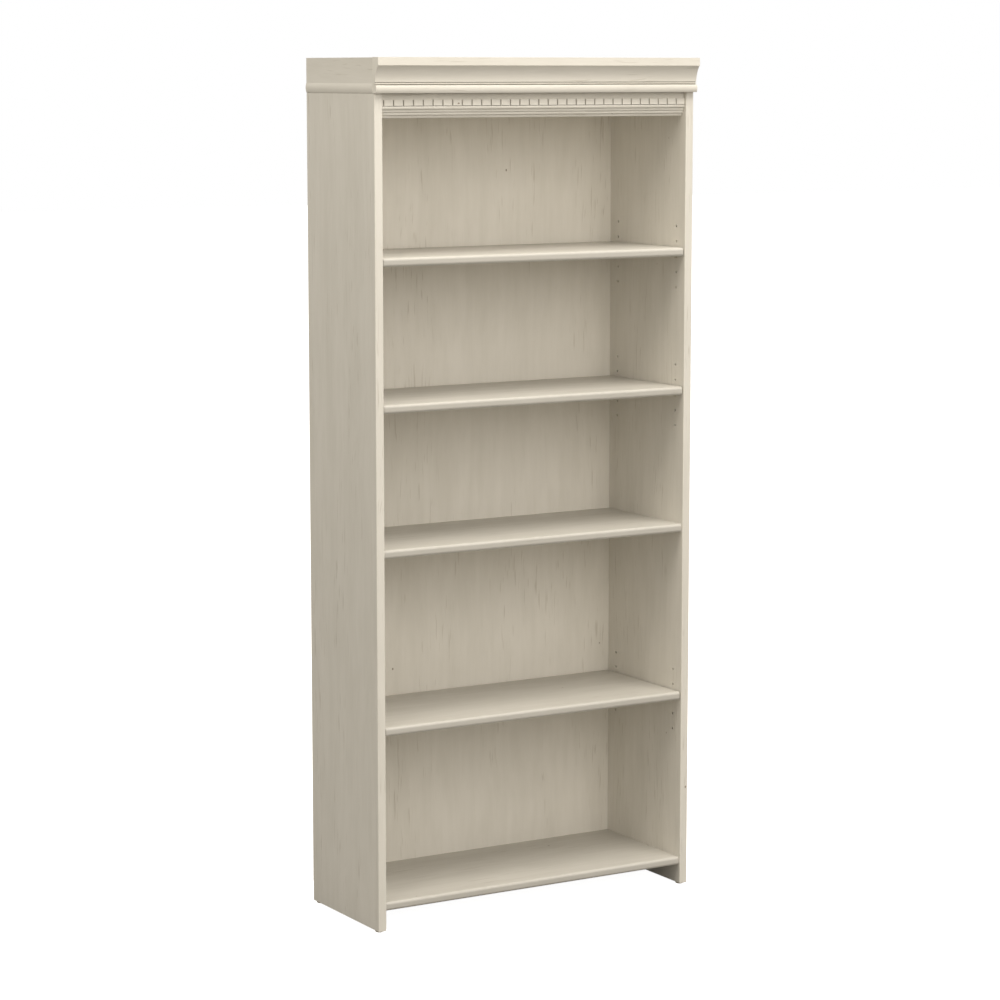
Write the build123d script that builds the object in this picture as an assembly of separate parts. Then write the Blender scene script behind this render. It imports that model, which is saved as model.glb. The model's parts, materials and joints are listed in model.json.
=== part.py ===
from build123d import *
import os

os.makedirs("parts", exist_ok=True)

# A tall open bookcase of 18 mm boards with five bays. The bottom shelf, the middle
# shelf and the top panel are fixed with cam fittings and dowels. The other three
# shelves lie loose on spoon pins, which plug into rows of holes at a 32 mm pitch.
# A moulded crown stands on top, and a dentil valance hangs below it.
#
# Frame: X to the right, Y to the back, Z up, in millimetres. The origin is on the
# floor, in the middle of the width and of the depth over crown and back panel.

# ---- Overall sizes ------------------------------------------------------------
width = 750.0               # over the outer faces of the side panels
side_height = 1677.0        # side panel, between its glides and the crown
side_depth = 285.0          # side panel, from its front edge to its rear edge
board = 18.0                # thickness of every main board
back_thickness = 3.0        # hardboard nailed on the rear edges
glide_drop = 3.5            # glide below the side panel
crown_height = 70.0         # crown moulding, from the side panels to its top
crown_projection = 20.0     # crown's fascia in front of the side panels

# ---- Shelves ------------------------------------------------------------------
bottom_gap = 39.5           # bottom shelf's underside above the side panels' ends
middle_height = 758.5       # middle shelf's underside above the side panels' ends
fixed_setback = 4.0         # fixed shelf's nose behind the side panels' front edges
loose_setback = 3.0         # adjustable shelf's nose behind the same edges
nose_round = 6.0            # radius along a shelf's upper and lower front edges
edge_round = 2.0            # radius along a side panel's front edges
shelf_side_gap = 2.0        # adjustable shelf to each side panel
shelf_rear_gap = 2.0        # adjustable shelf to the back panel
back_inset = 1.0            # back panel's edges inside the carcass's outline

# ---- Shelf pins and their holes -----------------------------------------------
pin_diameter = 5.0
pin_shank = 8.5             # length inside the side panel
pin_hole_depth = 9.5
pin_fit = 0.1               # radial clearance of a shank in its hole
pin_pitch = 32.0            # hole to hole, up and down
pin_steps = 2               # spare holes above and below the pin in use
pin_front_inset = 32.5      # front column behind the front edge
pin_rear_inset = 30.5       # rear column before the rear edge
spoon_length = 11.0         # spoon under the shelf, from the side panel's face
spoon_width = 9.0
spoon_thickness = 2.4
flange_thickness = 1.6      # plate that lies on the side panel's face
flange_drop = 3.0           # flange's lower end below the middle of the hole

# ---- Cam fittings and dowels of the fixed boards ------------------------------
cam_diameter = 15.0
cam_above_bolt = 3.5        # cam's upper end above the bolt's axis
cam_fit = 0.2               # radial clearance of a cam lock in its pocket
cam_setback = 34.0          # middle of the cam from the board's end
cam_inset = 60.0            # cam fittings from the board's front and rear edges
cam_shell = 4.0             # cam's wall behind the bolt's head
cross_slot = 1.4            # width and depth of the driver slot
cross_span = 9.0            # length of each arm of that slot
bolt_thread = 6.0           # diameter screwed into the side panel
bolt_thread_length = 10.0
bolt_neck = 4.5             # diameter of the plain part
bolt_head = 6.6
bolt_head_length = 4.0
bolt_tunnel = 8.0           # bore for the bolt in the board's end
dowel_diameter = 8.0
dowel_length = 30.0
dowel_in_side = 11.0        # dowel's depth in the outer board of a joint
dowel_inset = 28.0          # dowels from the board's front and rear edges
dowel_chamfer = 1.0
bore_fit = 0.1              # radial clearance of dowels, bolts, screws and nails
bore_spare = 1.0            # empty depth past the end of a dowel or bolt

# ---- Valance ------------------------------------------------------------------
valance_height = 47.8
valance_top_gap = 0.5       # below the side panels' upper ends
valance_end_gap = 0.5       # to each side panel
frieze_height = 12.4        # plain strip above the dentils
dentil_height = 12.7
frieze_setback = 8.5        # frieze behind the side panels' front edges
dentil_setback = 5.5        # dentil faces behind the same edges
reed_setbacks = (6.3, 9.4, 12.0, 15.8)
reed_bulge = 0.9            # reed's middle in front of its edges
valance_back = 24.5         # valance's rear face behind the front edges
dentil_pitch = 22.16
dentil_space = 2.8          # gap between two dentils
shortest_dentil = 1.0       # a shorter stub is left off
valance_dowel_diameter = 6.0
valance_dowel_length = 24.0
valance_dowel_depth = 10.0  # dowel's depth in the valance
valance_dowel_count = 4
valance_dowel_inset = 60.0

# ---- Crown --------------------------------------------------------------------
crown_overhang = 1.8        # moulding's ends beyond the side panels
moulding_back = 4.0         # moulding's rear face behind the front edges
fascia_height = 16.3
fascia_lip = 1.5            # fascia in front of the cove's upper edge
cove_foot = 7.0             # cove's lower edge in front of the side panels
cove_sag = 2.7              # depth of the cove's arc below its chord
groove_floor = 4.5          # both grooves' floor in front of the side panels
fillet_face = 8.0           # flat between the grooves, in front of the side panels
upper_groove = 1.8          # heights of the small members, from the cove down
fillet_height = 2.0
lower_groove = 2.4
band_height = 15.4
band_top = 10.6             # band's upper edge, middle and lower edge,
band_middle = 11.6          # in front of the side panels
band_foot = 9.2
return_drop = 0.7           # returns below the moulding's top
return_proud = 0.8          # return's flat face outside the side panel
return_band_proud = 2.7     # its half-round band outside the side panel
return_band_height = 20.0
cap_thickness = 15.0
return_dowel_inset = 110.0  # upright dowels from the side panel's front and rear
return_dowel_depth = 15.0
rail_dowel_low = 14.0       # rail dowels above the crown's bottom
rail_dowel_high = 40.0

# ---- Screws, nails and glides -------------------------------------------------
screw_diameter = 4.0
screw_head = 8.0
screw_head_height = 2.6
screw_tip = 4.0
moulding_screw_length = 29.0
moulding_screw_height = 9.0  # above the crown's bottom
moulding_screw_count = 5
crown_screw_length = 40.0
crown_screw_count = 4
screw_inset = 75.0
nail_diameter = 1.6
nail_head = 4.5
nail_head_height = 0.8
back_nail_length = 16.0
back_nail_inset = 40.0
side_nail_count = 9
board_nail_count = 5
cap_nail_length = 35.0
cap_nail_count = 4
glide_diameter = 17.0
glide_round = 2.4
glide_inset = 15.0          # glide's middle from the panel's front and rear edges
glide_nail_diameter = 2.4
glide_nail_length = 16.0

# ---- Places worked out from the sizes -----------------------------------------
overall_depth = crown_projection + side_depth + back_thickness
front_y = crown_projection - overall_depth / 2
rear_y = front_y + side_depth
cam_height = board / 2 + cam_above_bolt
outer_x = width / 2
inner_x = outer_x - board
side_z = glide_drop
side_top = side_z + side_height
bottom_z = side_z + bottom_gap
middle_z = side_z + middle_height
top_z = side_top - board
valance_top = side_top - valance_top_gap
valance_z = valance_top - valance_height
lower_bay = (middle_z - bottom_z - 2 * board) / 2
upper_bay = (valance_z - middle_z - 3 * board) / 3
loose_shelves = {
    "lower": bottom_z + board + lower_bay,
    "second": middle_z + board + upper_bay,
    "upper": middle_z + 2 * board + 2 * upper_bay,
}
pin_columns = {"front": front_y + pin_front_inset, "rear": rear_y - pin_rear_inset}
crown_top = side_top + crown_height
return_top = crown_top - return_drop
rail_top = return_top - cap_thickness
moulding_y = front_y + moulding_back
return_inner_x = outer_x + return_proud - board
sides = {"left": -1, "right": 1}

RIGHT, BACK, UP = (1, 0, 0), (0, 1, 0), (0, 0, 1)
FORWARD, DOWN = (0, -1, 0), (0, 0, -1)
FROM_START = (Align.CENTER, Align.CENTER, Align.MIN)

pieces = {}                 # node name: its solids
bores = {}                  # node name: what is cut out of its one solid


def add(node, solid):
    """Puts one solid in a node."""
    pieces.setdefault(node, []).append(solid)


def cut(node, tool):
    """Cuts a tool out of a board's node."""
    bores.setdefault(node, []).append(tool)


def block(x_range, y_range, z_range):
    """A rectangular solid between two limits on each axis."""
    ranges = (x_range, y_range, z_range)
    centre = [(low + high) / 2 for low, high in ranges]
    return Pos(*centre) * Box(*[high - low for low, high in ranges])


def along(start, direction, shape):
    """Lays a shape that stands on its origin along a direction from a start."""
    return Plane(origin=start, z_dir=direction) * shape


def rod(start, direction, diameter, length):
    """A round bar, or the tool for a round hole."""
    return along(start, direction, Cylinder(diameter / 2, length, align=FROM_START))


def spread(count, limit):
    """Evenly spaced values from -limit to limit."""
    return [limit * (2 * i / (count - 1) - 1) for i in range(count)]


def dowel(start, direction, diameter, length):
    """A wooden dowel with chamfered ends."""
    bar = Cylinder(diameter / 2, length, align=FROM_START)
    return along(start, direction, chamfer(bar.edges().filter_by(GeomType.CIRCLE), dowel_chamfer))


def dowel_joint(node, face, direction, diameter, depths, boards):
    """A dowel across a joint: depths and boards are those behind and ahead of the face."""
    behind, ahead = depths
    back_way = tuple(-value for value in direction)
    start = tuple(at - behind * way for at, way in zip(face, direction))
    add(node, dowel(start, direction, diameter, behind + ahead))
    cut(boards[0], rod(face, back_way, diameter + 2 * bore_fit, behind + bore_spare))
    cut(boards[1], rod(face, direction, diameter + 2 * bore_fit, ahead + bore_spare))


def screw(start, direction, length, grow=0.0):
    """A countersunk wood screw with its head flush at the start; grow makes its bore."""
    radius = screw_diameter / 2 + grow
    head = Cone(screw_head / 2 + grow, radius, screw_head_height, align=FROM_START)
    shank = Cylinder(radius, length - screw_tip + grow, align=FROM_START)
    tip = Cone(radius, radius / 4, screw_tip, align=FROM_START)
    return along(start, direction, head + shank + Pos(0, 0, length - screw_tip + grow) * tip)


def nail(start, direction, length, grow=0.0):
    """A flat-headed nail with its head flush at the start; grow makes its bore."""
    head = Cylinder(nail_head / 2 + grow, nail_head_height, align=FROM_START)
    shank = Cylinder(nail_diameter / 2 + grow, length + grow, align=FROM_START)
    return along(start, direction, head + shank)


def fasten(node, maker, start, direction, length, boards):
    """Puts a screw or nail through the boards that it holds together."""
    add(node, maker(start, direction, length))
    for name in boards:
        cut(name, maker(start, direction, length, bore_fit))


# ---- Side panels and their pin holes ------------------------------------------
def side_panel(side):
    """A side board with rounded front edges."""
    x_range = sorted((sides[side] * inner_x, sides[side] * outer_x))
    panel = block(x_range, (front_y, rear_y), (side_z, side_top))
    front_edges = panel.edges().filter_by(Axis.Z).group_by(Axis.Y)[0]
    return fillet(front_edges, min(edge_round, 0.45 * board))


def pin_row(side, y, hole_z):
    """A pin's hole in a side panel, with the spare holes above and below it."""
    hole = pin_diameter + 2 * pin_fit
    outwards = (sides[side], 0, 0)
    for step in range(-pin_steps, pin_steps + 1):
        start = (sides[side] * inner_x, y, hole_z + step * pin_pitch)
        cut(f"{side}_side_panel", rod(start, outwards, hole, pin_hole_depth))


def shelf_pin(side, y, hole_z):
    """A spoon pin: shank, flange on the panel's face and flat spoon under the shelf."""
    way = sides[side]
    face = way * inner_x
    y_range = (y - spoon_width / 2, y + spoon_width / 2)
    seat = hole_z + pin_diameter / 2
    flange_x = sorted((face - way * flange_thickness, face))
    spoon_x = sorted((face - way * spoon_length, face))
    flange = block(flange_x, y_range, (hole_z - flange_drop, seat))
    spoon = block(spoon_x, y_range, (seat - spoon_thickness, seat))
    corners = spoon.edges().filter_by(Axis.Z).sort_by(Axis.X)
    tip = corners[:2] if way > 0 else corners[-2:]
    spoon = fillet(tip, spoon_width / 3)
    shank = rod((face, y, hole_z), (way, 0, 0), pin_diameter, pin_shank)
    return flange + spoon + shank


for side in sides:
    add(f"{side}_side_panel", side_panel(side))
    for level, shelf_z in loose_shelves.items():
        hole_z = shelf_z - pin_diameter / 2
        for column, y in pin_columns.items():
            pin_row(side, y, hole_z)
            add(f"{level}_{side}_{column}_pin", shelf_pin(side, y, hole_z))


# ---- Shelves and top panel ----------------------------------------------------
def shelf_board(half_length, setback, rear_gap, z):
    """A shelf with rounded upper and lower front edges."""
    body = block((-half_length, half_length), (front_y + setback, rear_y - rear_gap), (z, z + board))
    nose = body.edges().filter_by(Axis.X).group_by(Axis.Y)[0]
    return fillet(nose, min(nose_round, 0.45 * board))


for level, shelf_z in loose_shelves.items():
    half = inner_x - shelf_side_gap
    add(f"{level}_adjustable_shelf", shelf_board(half, loose_setback, shelf_rear_gap, shelf_z))
add("bottom_shelf", shelf_board(inner_x, fixed_setback, 0, bottom_z))
add("middle_shelf", shelf_board(inner_x, fixed_setback, 0, middle_z))
top_front = front_y + valance_back
add("top_panel", block((-inner_x, inner_x), (top_front, rear_y), (top_z, side_top)))


# ---- Cam fittings and dowels of the three fixed boards ------------------------
def cam_lock(x, y, z, way):
    """A cam lock in a board's underside, open above and towards the bolt."""
    cam = rod((x, y, z), UP, cam_diameter, cam_height)
    reach = cam_diameter / 2
    mouth_x = sorted((x - way * (reach - cam_shell), x + way * (reach + 1)))
    half_mouth = bolt_head / 2 + 2 * bore_fit
    mouth = block(mouth_x, (y - half_mouth, y + half_mouth), (z + board / 2 - half_mouth, z + board))
    arms = [
        block((x - a / 2, x + a / 2), (y - b / 2, y + b / 2), (z - 1, z + cross_slot))
        for a, b in ((cross_span, cross_slot), (cross_slot, cross_span))
    ]
    return cam - [mouth] - arms


def cam_bolt(face_x, y, z, way):
    """A cam bolt: thread in the side panel, plain neck, and head inside the cam."""
    thread = rod((face_x, y, z), (way, 0, 0), bolt_thread, bolt_thread_length)
    reach = cam_setback + bolt_head_length / 2
    neck = rod((face_x, y, z), (-way, 0, 0), bolt_neck, reach)
    head_x = face_x - way * (cam_setback - bolt_head_length / 2)
    return thread + neck + rod((head_x, y, z), (-way, 0, 0), bolt_head, bolt_head_length)


def fix_board(name, board_node, board_front, z):
    """Cam fittings and dowels at both ends of a fixed board."""
    middle = z + board / 2
    for side, way in sides.items():
        panel = f"{side}_side_panel"
        face_x = way * inner_x
        cam_x = face_x - way * cam_setback
        for y in (board_front + cam_inset, rear_y - cam_inset):
            add(f"{name}_cam_bolts", cam_bolt(face_x, y, middle, way))
            add(f"{name}_cam_locks", cam_lock(cam_x, y, z, way))
            thread_hole = bolt_thread + 2 * bore_fit
            thread_depth = bolt_thread_length + bore_spare
            cut(panel, rod((face_x, y, middle), (way, 0, 0), thread_hole, thread_depth))
            cut(board_node, rod((face_x, y, middle), (-way, 0, 0), bolt_tunnel, cam_setback))
            cut(board_node, rod((cam_x, y, z), UP, cam_diameter + 2 * cam_fit, cam_height + cam_fit))
        for y in (board_front + dowel_inset, rear_y - dowel_inset):
            depths = (dowel_length - dowel_in_side, dowel_in_side)
            start = (face_x, y, middle)
            held = (board_node, panel)
            dowel_joint(f"{name}_dowels", start, (way, 0, 0), dowel_diameter, depths, held)


fix_board("bottom", "bottom_shelf", front_y + fixed_setback, bottom_z)
fix_board("middle", "middle_shelf", front_y + fixed_setback, middle_z)
fix_board("top", "top_panel", top_front, top_z)


# ---- Back panel ---------------------------------------------------------------
back_half = outer_x - back_inset
back_z = (bottom_z + back_inset, side_top - back_inset)
add("back_panel", block((-back_half, back_half), (rear_y, rear_y + back_thickness), back_z))
back_face = rear_y + back_thickness
for side, way in sides.items():
    middle_x = way * (outer_x - board / 2)
    centre_z = sum(back_z) / 2
    reach_z = (back_z[1] - back_z[0]) / 2 - back_nail_inset
    for offset in spread(side_nail_count, reach_z):
        start = (middle_x, back_face, centre_z + offset)
        held = ("back_panel", f"{side}_side_panel")
        fasten("back_panel_nails", nail, start, FORWARD, back_nail_length, held)
for board_node, z in (("bottom_shelf", bottom_z), ("middle_shelf", middle_z), ("top_panel", top_z)):
    for x in spread(board_nail_count, inner_x - back_nail_inset):
        start = (x, back_face, z + board / 2)
        fasten("back_panel_nails", nail, start, FORWARD, back_nail_length, ("back_panel", board_node))


# ---- Dentil valance -----------------------------------------------------------
def profile_bar(lines, half_length, z):
    """A bar along X; its section's (y, z) points are from the front edges and from z."""
    section = Plane((-half_length, front_y, z), x_dir=BACK, z_dir=RIGHT) * make_face(lines)
    return extrude(section, 2 * half_length, dir=RIGHT)


def valance_lines():
    """The valance's section: frieze, ground of the dentils and four stepped reeds."""
    reed_top = valance_height - frieze_height - dentil_height
    reed_height = reed_top / len(reed_setbacks)
    corner = (frieze_setback, reed_top)
    lines = [Line((frieze_setback, valance_height), corner)]
    for index, setback in enumerate(reed_setbacks):
        high = reed_top - index * reed_height
        middle = (setback - reed_bulge, high - reed_height / 2)
        foot = (setback, high - reed_height)
        lines += [Line(corner, (setback, high)), ThreePointArc((setback, high), middle, foot)]
        corner = foot
    rear = ((valance_back, 0), (valance_back, valance_height), (frieze_setback, valance_height))
    return lines + [Polyline(corner, *rear)]


def dentils():
    """The row of dentils, set out from the right end, with a stub at the left one."""
    row = []
    low_z = valance_top - frieze_height - dentil_height
    y_range = (front_y + dentil_setback, front_y + frieze_setback + 1)
    right = valance_end
    while right - shortest_dentil > -valance_end:
        left = max(right - dentil_pitch + dentil_space, -valance_end)
        row.append(block((left, right), y_range, (low_z, low_z + dentil_height)))
        right -= dentil_pitch
    return row


valance_end = inner_x - valance_end_gap
add("dentil_valance", profile_bar(valance_lines(), valance_end, valance_z) + dentils())
for x in spread(valance_dowel_count, inner_x - valance_dowel_inset):
    depths = (valance_dowel_depth, valance_dowel_length - valance_dowel_depth)
    held = ("dentil_valance", "top_panel")
    start = (x, top_front, top_z + board / 2)
    dowel_joint("valance_dowels", start, BACK, valance_dowel_diameter, depths, held)


# ---- Crown --------------------------------------------------------------------
def moulding_lines():
    """The crown's section: fascia, cove, two small grooves and a rounded band."""
    cove_high = crown_height - fascia_height
    fillet_low = band_height + lower_groove
    fillet_high = fillet_low + fillet_height
    cove_low = fillet_high + upper_groove
    cove_start = Vector(fascia_lip - crown_projection, cove_high)
    cove_end = Vector(-cove_foot, cove_low)
    chord = (cove_end - cove_start).normalized()
    cove_middle = (cove_start + cove_end) / 2 + Vector(-chord.Y, chord.X) * cove_sag
    return [
        Polyline((moulding_back, crown_height), (-crown_projection, crown_height),
                 (-crown_projection, cove_high), cove_start),
        ThreePointArc(cove_start, cove_middle, cove_end),
        Polyline(cove_end, (-groove_floor, cove_low), (-groove_floor, fillet_high),
                 (-fillet_face, fillet_high), (-fillet_face, fillet_low),
                 (-groove_floor, fillet_low), (-groove_floor, band_height), (-band_top, band_height)),
        ThreePointArc((-band_top, band_height), (-band_middle, band_height / 2), (-band_foot, 0)),
        Polyline((-band_foot, 0), (moulding_back, 0), (moulding_back, crown_height)),
    ]


def crown_return(way):
    """A side return: a board on the side panel, with a half-round band along its foot."""
    face = way * (outer_x + return_proud)
    belly = way * (outer_x + return_band_proud)
    inner = way * return_inner_x
    high = return_top - side_top
    section = make_face([
        ThreePointArc((face, 0), (belly, return_band_height / 2), (face, return_band_height)),
        Polyline((face, return_band_height), (face, high), (inner, high), (inner, 0), (face, 0)),
    ])
    place = Plane((0, moulding_y, side_top), x_dir=RIGHT, z_dir=FORWARD)
    return extrude(place * section, rear_y - moulding_y, dir=BACK)


add("crown_moulding", profile_bar(moulding_lines(), outer_x + crown_overhang, side_top))
for side, way in sides.items():
    add(f"crown_{side}_return", crown_return(way))
crown_x = (-return_inner_x, return_inner_x)
rails = {"crown_front_rail": moulding_y, "crown_rear_rail": rear_y - board}
for rail, y in rails.items():
    add(rail, block(crown_x, (y, y + board), (side_top, rail_top)))
add("crown_cap", block(crown_x, (moulding_y, rear_y), (rail_top, return_top)))

for side, way in sides.items():
    crown_side = f"crown_{side}_return"
    for y in (front_y + return_dowel_inset, rear_y - return_dowel_inset):
        start = (way * (outer_x - board / 2), y, side_top)
        depths = (dowel_length - return_dowel_depth, return_dowel_depth)
        held = (f"{side}_side_panel", crown_side)
        dowel_joint("return_dowels", start, UP, dowel_diameter, depths, held)
    for rail, rail_y in rails.items():
        for height in (rail_dowel_low, rail_dowel_high):
            start = (way * return_inner_x, rail_y + board / 2, side_top + height)
            depths = (dowel_length - dowel_in_side, dowel_in_side)
            held = (rail, crown_side)
            dowel_joint("rail_dowels", start, (way, 0, 0), dowel_diameter, depths, held)

for x in spread(moulding_screw_count, inner_x - screw_inset):
    start = (x, moulding_y + board, side_top + moulding_screw_height)
    held = ("crown_front_rail", "crown_moulding")
    fasten("moulding_screws", screw, start, FORWARD, moulding_screw_length, held)
for x in spread(crown_screw_count, inner_x - screw_inset):
    start = (x, rear_y - board / 2, top_z)
    held = ("top_panel", "crown_rear_rail")
    fasten("crown_screws", screw, start, UP, crown_screw_length, held)
for rail, rail_y in rails.items():
    for x in spread(cap_nail_count, inner_x - screw_inset):
        start = (x, rail_y + board / 2, return_top)
        fasten("cap_nails", nail, start, DOWN, cap_nail_length, ("crown_cap", rail))


# ---- Floor glides -------------------------------------------------------------
def floor_glide(x, y):
    """A nail-on glide: flat-bottomed button and its nail in the side panel's end."""
    button = rod((x, y, side_z), DOWN, glide_diameter, glide_drop)
    button = fillet(button.edges().group_by(Axis.Z)[0], min(glide_round, 0.8 * glide_drop))
    return button + rod((x, y, side_z), UP, glide_nail_diameter, glide_nail_length)


for side, way in sides.items():
    for y in (front_y + glide_inset, rear_y - glide_inset):
        x = way * (outer_x - board / 2)
        add("floor_glides", floor_glide(x, y))
        hole = glide_nail_diameter + 2 * bore_fit
        cut(f"{side}_side_panel", rod((x, y, side_z), UP, hole, glide_nail_length + bore_spare))


# ---- Bores, then one file per node --------------------------------------------
for node, tools in bores.items():
    pieces[node] = [pieces[node][0] - tools]
for node, solids in pieces.items():
    shape = solids[0] if len(solids) == 1 else Compound(children=[Part(s.wrapped) for s in solids])
    export_step(shape, f"parts/{node}.step")
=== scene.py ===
"""A tall open bookcase with adjustable shelves: its finished meshes, finishes, light and camera.

Lengths are in metres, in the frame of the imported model: X to the right, Y to the back and
Z up, with the origin on the floor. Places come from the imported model's nodes and from its
record, so every finished piece stands exactly where the node that it replaces stands.
"""
import json
import logging
import math
from collections.abc import Callable, Iterable, Sequence
from dataclasses import dataclass, field
from enum import Enum
from typing import Any, Optional, Union

import bmesh
import bpy
from bmesh.types import BMEdge, BMFace, BMVert
from mathutils import Matrix, Vector


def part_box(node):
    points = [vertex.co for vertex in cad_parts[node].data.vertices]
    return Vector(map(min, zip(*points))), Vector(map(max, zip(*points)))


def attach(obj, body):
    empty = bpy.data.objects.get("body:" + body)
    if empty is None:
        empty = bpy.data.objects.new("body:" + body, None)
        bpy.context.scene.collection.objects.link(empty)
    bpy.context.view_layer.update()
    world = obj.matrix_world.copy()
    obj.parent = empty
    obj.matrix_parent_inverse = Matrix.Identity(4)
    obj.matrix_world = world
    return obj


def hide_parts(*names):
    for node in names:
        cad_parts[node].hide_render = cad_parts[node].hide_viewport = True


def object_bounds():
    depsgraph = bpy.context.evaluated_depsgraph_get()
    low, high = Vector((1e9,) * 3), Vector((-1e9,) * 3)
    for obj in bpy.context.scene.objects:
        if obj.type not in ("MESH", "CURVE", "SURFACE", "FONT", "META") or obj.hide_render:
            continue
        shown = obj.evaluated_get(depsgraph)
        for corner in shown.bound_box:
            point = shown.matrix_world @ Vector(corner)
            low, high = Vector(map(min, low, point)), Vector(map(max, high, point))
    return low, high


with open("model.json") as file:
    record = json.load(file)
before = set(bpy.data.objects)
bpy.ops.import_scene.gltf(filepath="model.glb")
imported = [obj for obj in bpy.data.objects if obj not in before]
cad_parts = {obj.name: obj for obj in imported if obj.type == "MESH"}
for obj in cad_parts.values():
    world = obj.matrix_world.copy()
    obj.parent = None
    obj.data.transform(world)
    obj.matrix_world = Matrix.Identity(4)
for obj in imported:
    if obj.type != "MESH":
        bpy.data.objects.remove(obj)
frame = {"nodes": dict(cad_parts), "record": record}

CAD_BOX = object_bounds()
LOG = logging.getLogger("bookcase")
Colour = tuple[float, float, float, float]

MM = 0.001
SHARP_ANGLE = math.radians(35)      # an edge that turns more than this is drawn sharp
EDGE_MASK = "worked_edge"           # face attribute: 1 where an edge was rounded
FILL_TRIES = 12                     # ways of turning the rings that a face's filling may take
RING_TURN = 0.1                     # radians from one ring to the next, so that none line up
MERGE = 0.001 * MM                  # points this close are one
LEVEL = 0.1 * MM                    # places this close are on one level
ALIGNED = 0.999                     # directions whose cosine is more than this are one
BAND_REACH = 2 * MM                 # how far the strip on a front edge reaches round it
RAW = 1                             # a board's material place for its raw edges
LIT_FRONT_STRIP = 2                            # and for the strip along its front edge: the foil painted lighter, a painted highlight
RECESS = 1                          # a moulding's material place for its recesses: the foil painted darker, painted shade
RAISED = 2                          # and for what is raised on it: the foil painted lighter, a painted highlight


def paint(red: float, green: float, blue: float) -> Colour:
    """Makes a linear colour from display values.

    Args:
        red: Red, from 0 to 255.
        green: Green, from 0 to 255.
        blue: Blue, from 0 to 255.

    Returns:
        The colour as a material takes it.
    """
    linear = [(value / 255 / 12.92) if value < 10.3 else ((value / 255 + 0.055) / 1.055) ** 2.4
              for value in (red, green, blue)]
    return (linear[0], linear[1], linear[2], 1.0)


class Side(Enum):
    """A side of the bookcase; the value is its direction along X."""

    LEFT = -1
    RIGHT = 1

    @property
    def word(self) -> str:
        """The side's name as nodes use it."""
        return self.name.lower()

    @property
    def outward(self) -> Vector:
        """The direction away from the middle of the bookcase."""
        return Vector((self.value, 0, 0))


class Grain(Enum):
    """Which way the wood figure runs; the value is the turn that stands it upright."""

    UPRIGHT = (0.0, 0.0, 0.0)
    LENGTHWISE = (0.0, -math.pi / 2, 0.0)
    FRONT_TO_BACK = (math.pi / 2, 0.0, 0.0)


class Wash(Enum):
    """A factor on the foil's colour for each kind of piece, against that of a plain board: painted light
    and painted shade for how light falls on it.
    """

    # The main boards' own level first. Then shelves painted darker (painted shade), mouldings and front
    # edges lighter (painted light), dentil faces lighter (painted highlight), grooves and gaps darker
    # (painted shade), and the back sheet lighter (painted light in the bays).
    BOARD = 1.08
    SHELF = 0.82
    MOULDED = 1.13
    RAISED = 1.32
    RECESS = 0.64
    SHEET = 1.28


RIGHT, BACK, UP = Vector((1, 0, 0)), Vector((0, 1, 0)), Vector((0, 0, 1))


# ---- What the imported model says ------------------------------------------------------

class Packed:
    """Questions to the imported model: who carries a node, and where its solids are."""

    def __init__(self, record: dict[str, Any]) -> None:
        """Reads the bodies and material slots.

        Args:
            record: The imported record.
        """
        bodies = record["behaviour"]["bodies"]
        self.mounts = record["mounts"]
        self.body = {node: body for body, nodes in bodies.items() for node in nodes}
        self.slot = {part["node"]: part["material_slot"] for part in record["subparts"]}

    def pin_holes(self, side: Side) -> list[Vector]:
        """Lists the middles of the pin holes on a side panel's inner face.

        Args:
            side: Which side panel.

        Returns:
            One point for each hole, used or spare.
        """
        places = set()
        for mount in self.mounts:
            if mount["kind"] != "bolt_pattern" or f"_{side.word}_" not in mount["name"]:
                continue
            x, y, z = mount["pos_m"]
            reach_y = mount["dims"]["spacing_x_mm"] * MM / 2
            reach_z = mount["dims"]["spacing_y_mm"] * MM / 2
            places.update((x, y + s * reach_y, round(z + t * reach_z, 6))
                          for s in (-1, 1) for t in (-1, 0, 1))
        return [Vector(place) for place in sorted(places)]

    def pin_hole_radius(self) -> float:
        """The radius of a pin hole."""
        patterns = [mount for mount in self.mounts if mount["kind"] == "bolt_pattern"]
        return patterns[0]["dims"]["hole_r_mm"] * MM

    @staticmethod
    def solids(node: str) -> list[tuple[Vector, Vector]]:
        """Finds the separate solids of a node.

        Args:
            node: The node's name.

        Returns:
            Each solid's lowest and highest corner.
        """
        bm = bmesh.new()
        bm.from_mesh(frame["nodes"][node].data)
        bmesh.ops.remove_doubles(bm, verts=bm.verts, dist=0.01 * MM)
        left, boxes = set(bm.verts), []
        while left:
            waiting, points = [left.pop()], []
            while waiting:
                vert = waiting.pop()
                points.append(vert.co.copy())
                linked = {edge.other_vert(vert) for edge in vert.link_edges} & left
                left -= linked
                waiting.extend(linked)
            boxes.append((Vector(map(min, *points)), Vector(map(max, *points))))
        bm.free()
        return sorted(boxes, key=lambda box: tuple(box[0]))


PACKED = Packed(frame["record"])


# ---- Mesh work -----------------------------------------------------------------------

@dataclass(frozen=True)
class Turning:
    """A round hole or stem that starts on a flat face.

    Attributes:
        centre: Its middle, on the face.
        profile: Pairs of radius and distance out of the face, from the face to its end.
        segments: Corners round it.
    """

    centre: Vector
    profile: tuple[tuple[float, float], ...]
    segments: int = 20

    @classmethod
    def hole(cls, centre: Vector, radius: float, depth: float, lip: float = 0.3 * MM) -> "Turning":
        """A blind hole with a small broken edge at its mouth.

        Args:
            centre: The middle of its mouth.
            radius: Its radius.
            depth: Its depth.
            lip: How far the mouth's edge is broken.

        Returns:
            The turning.
        """
        return cls(centre, ((radius + lip, 0.0), (radius, -lip), (radius, -depth)))


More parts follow.
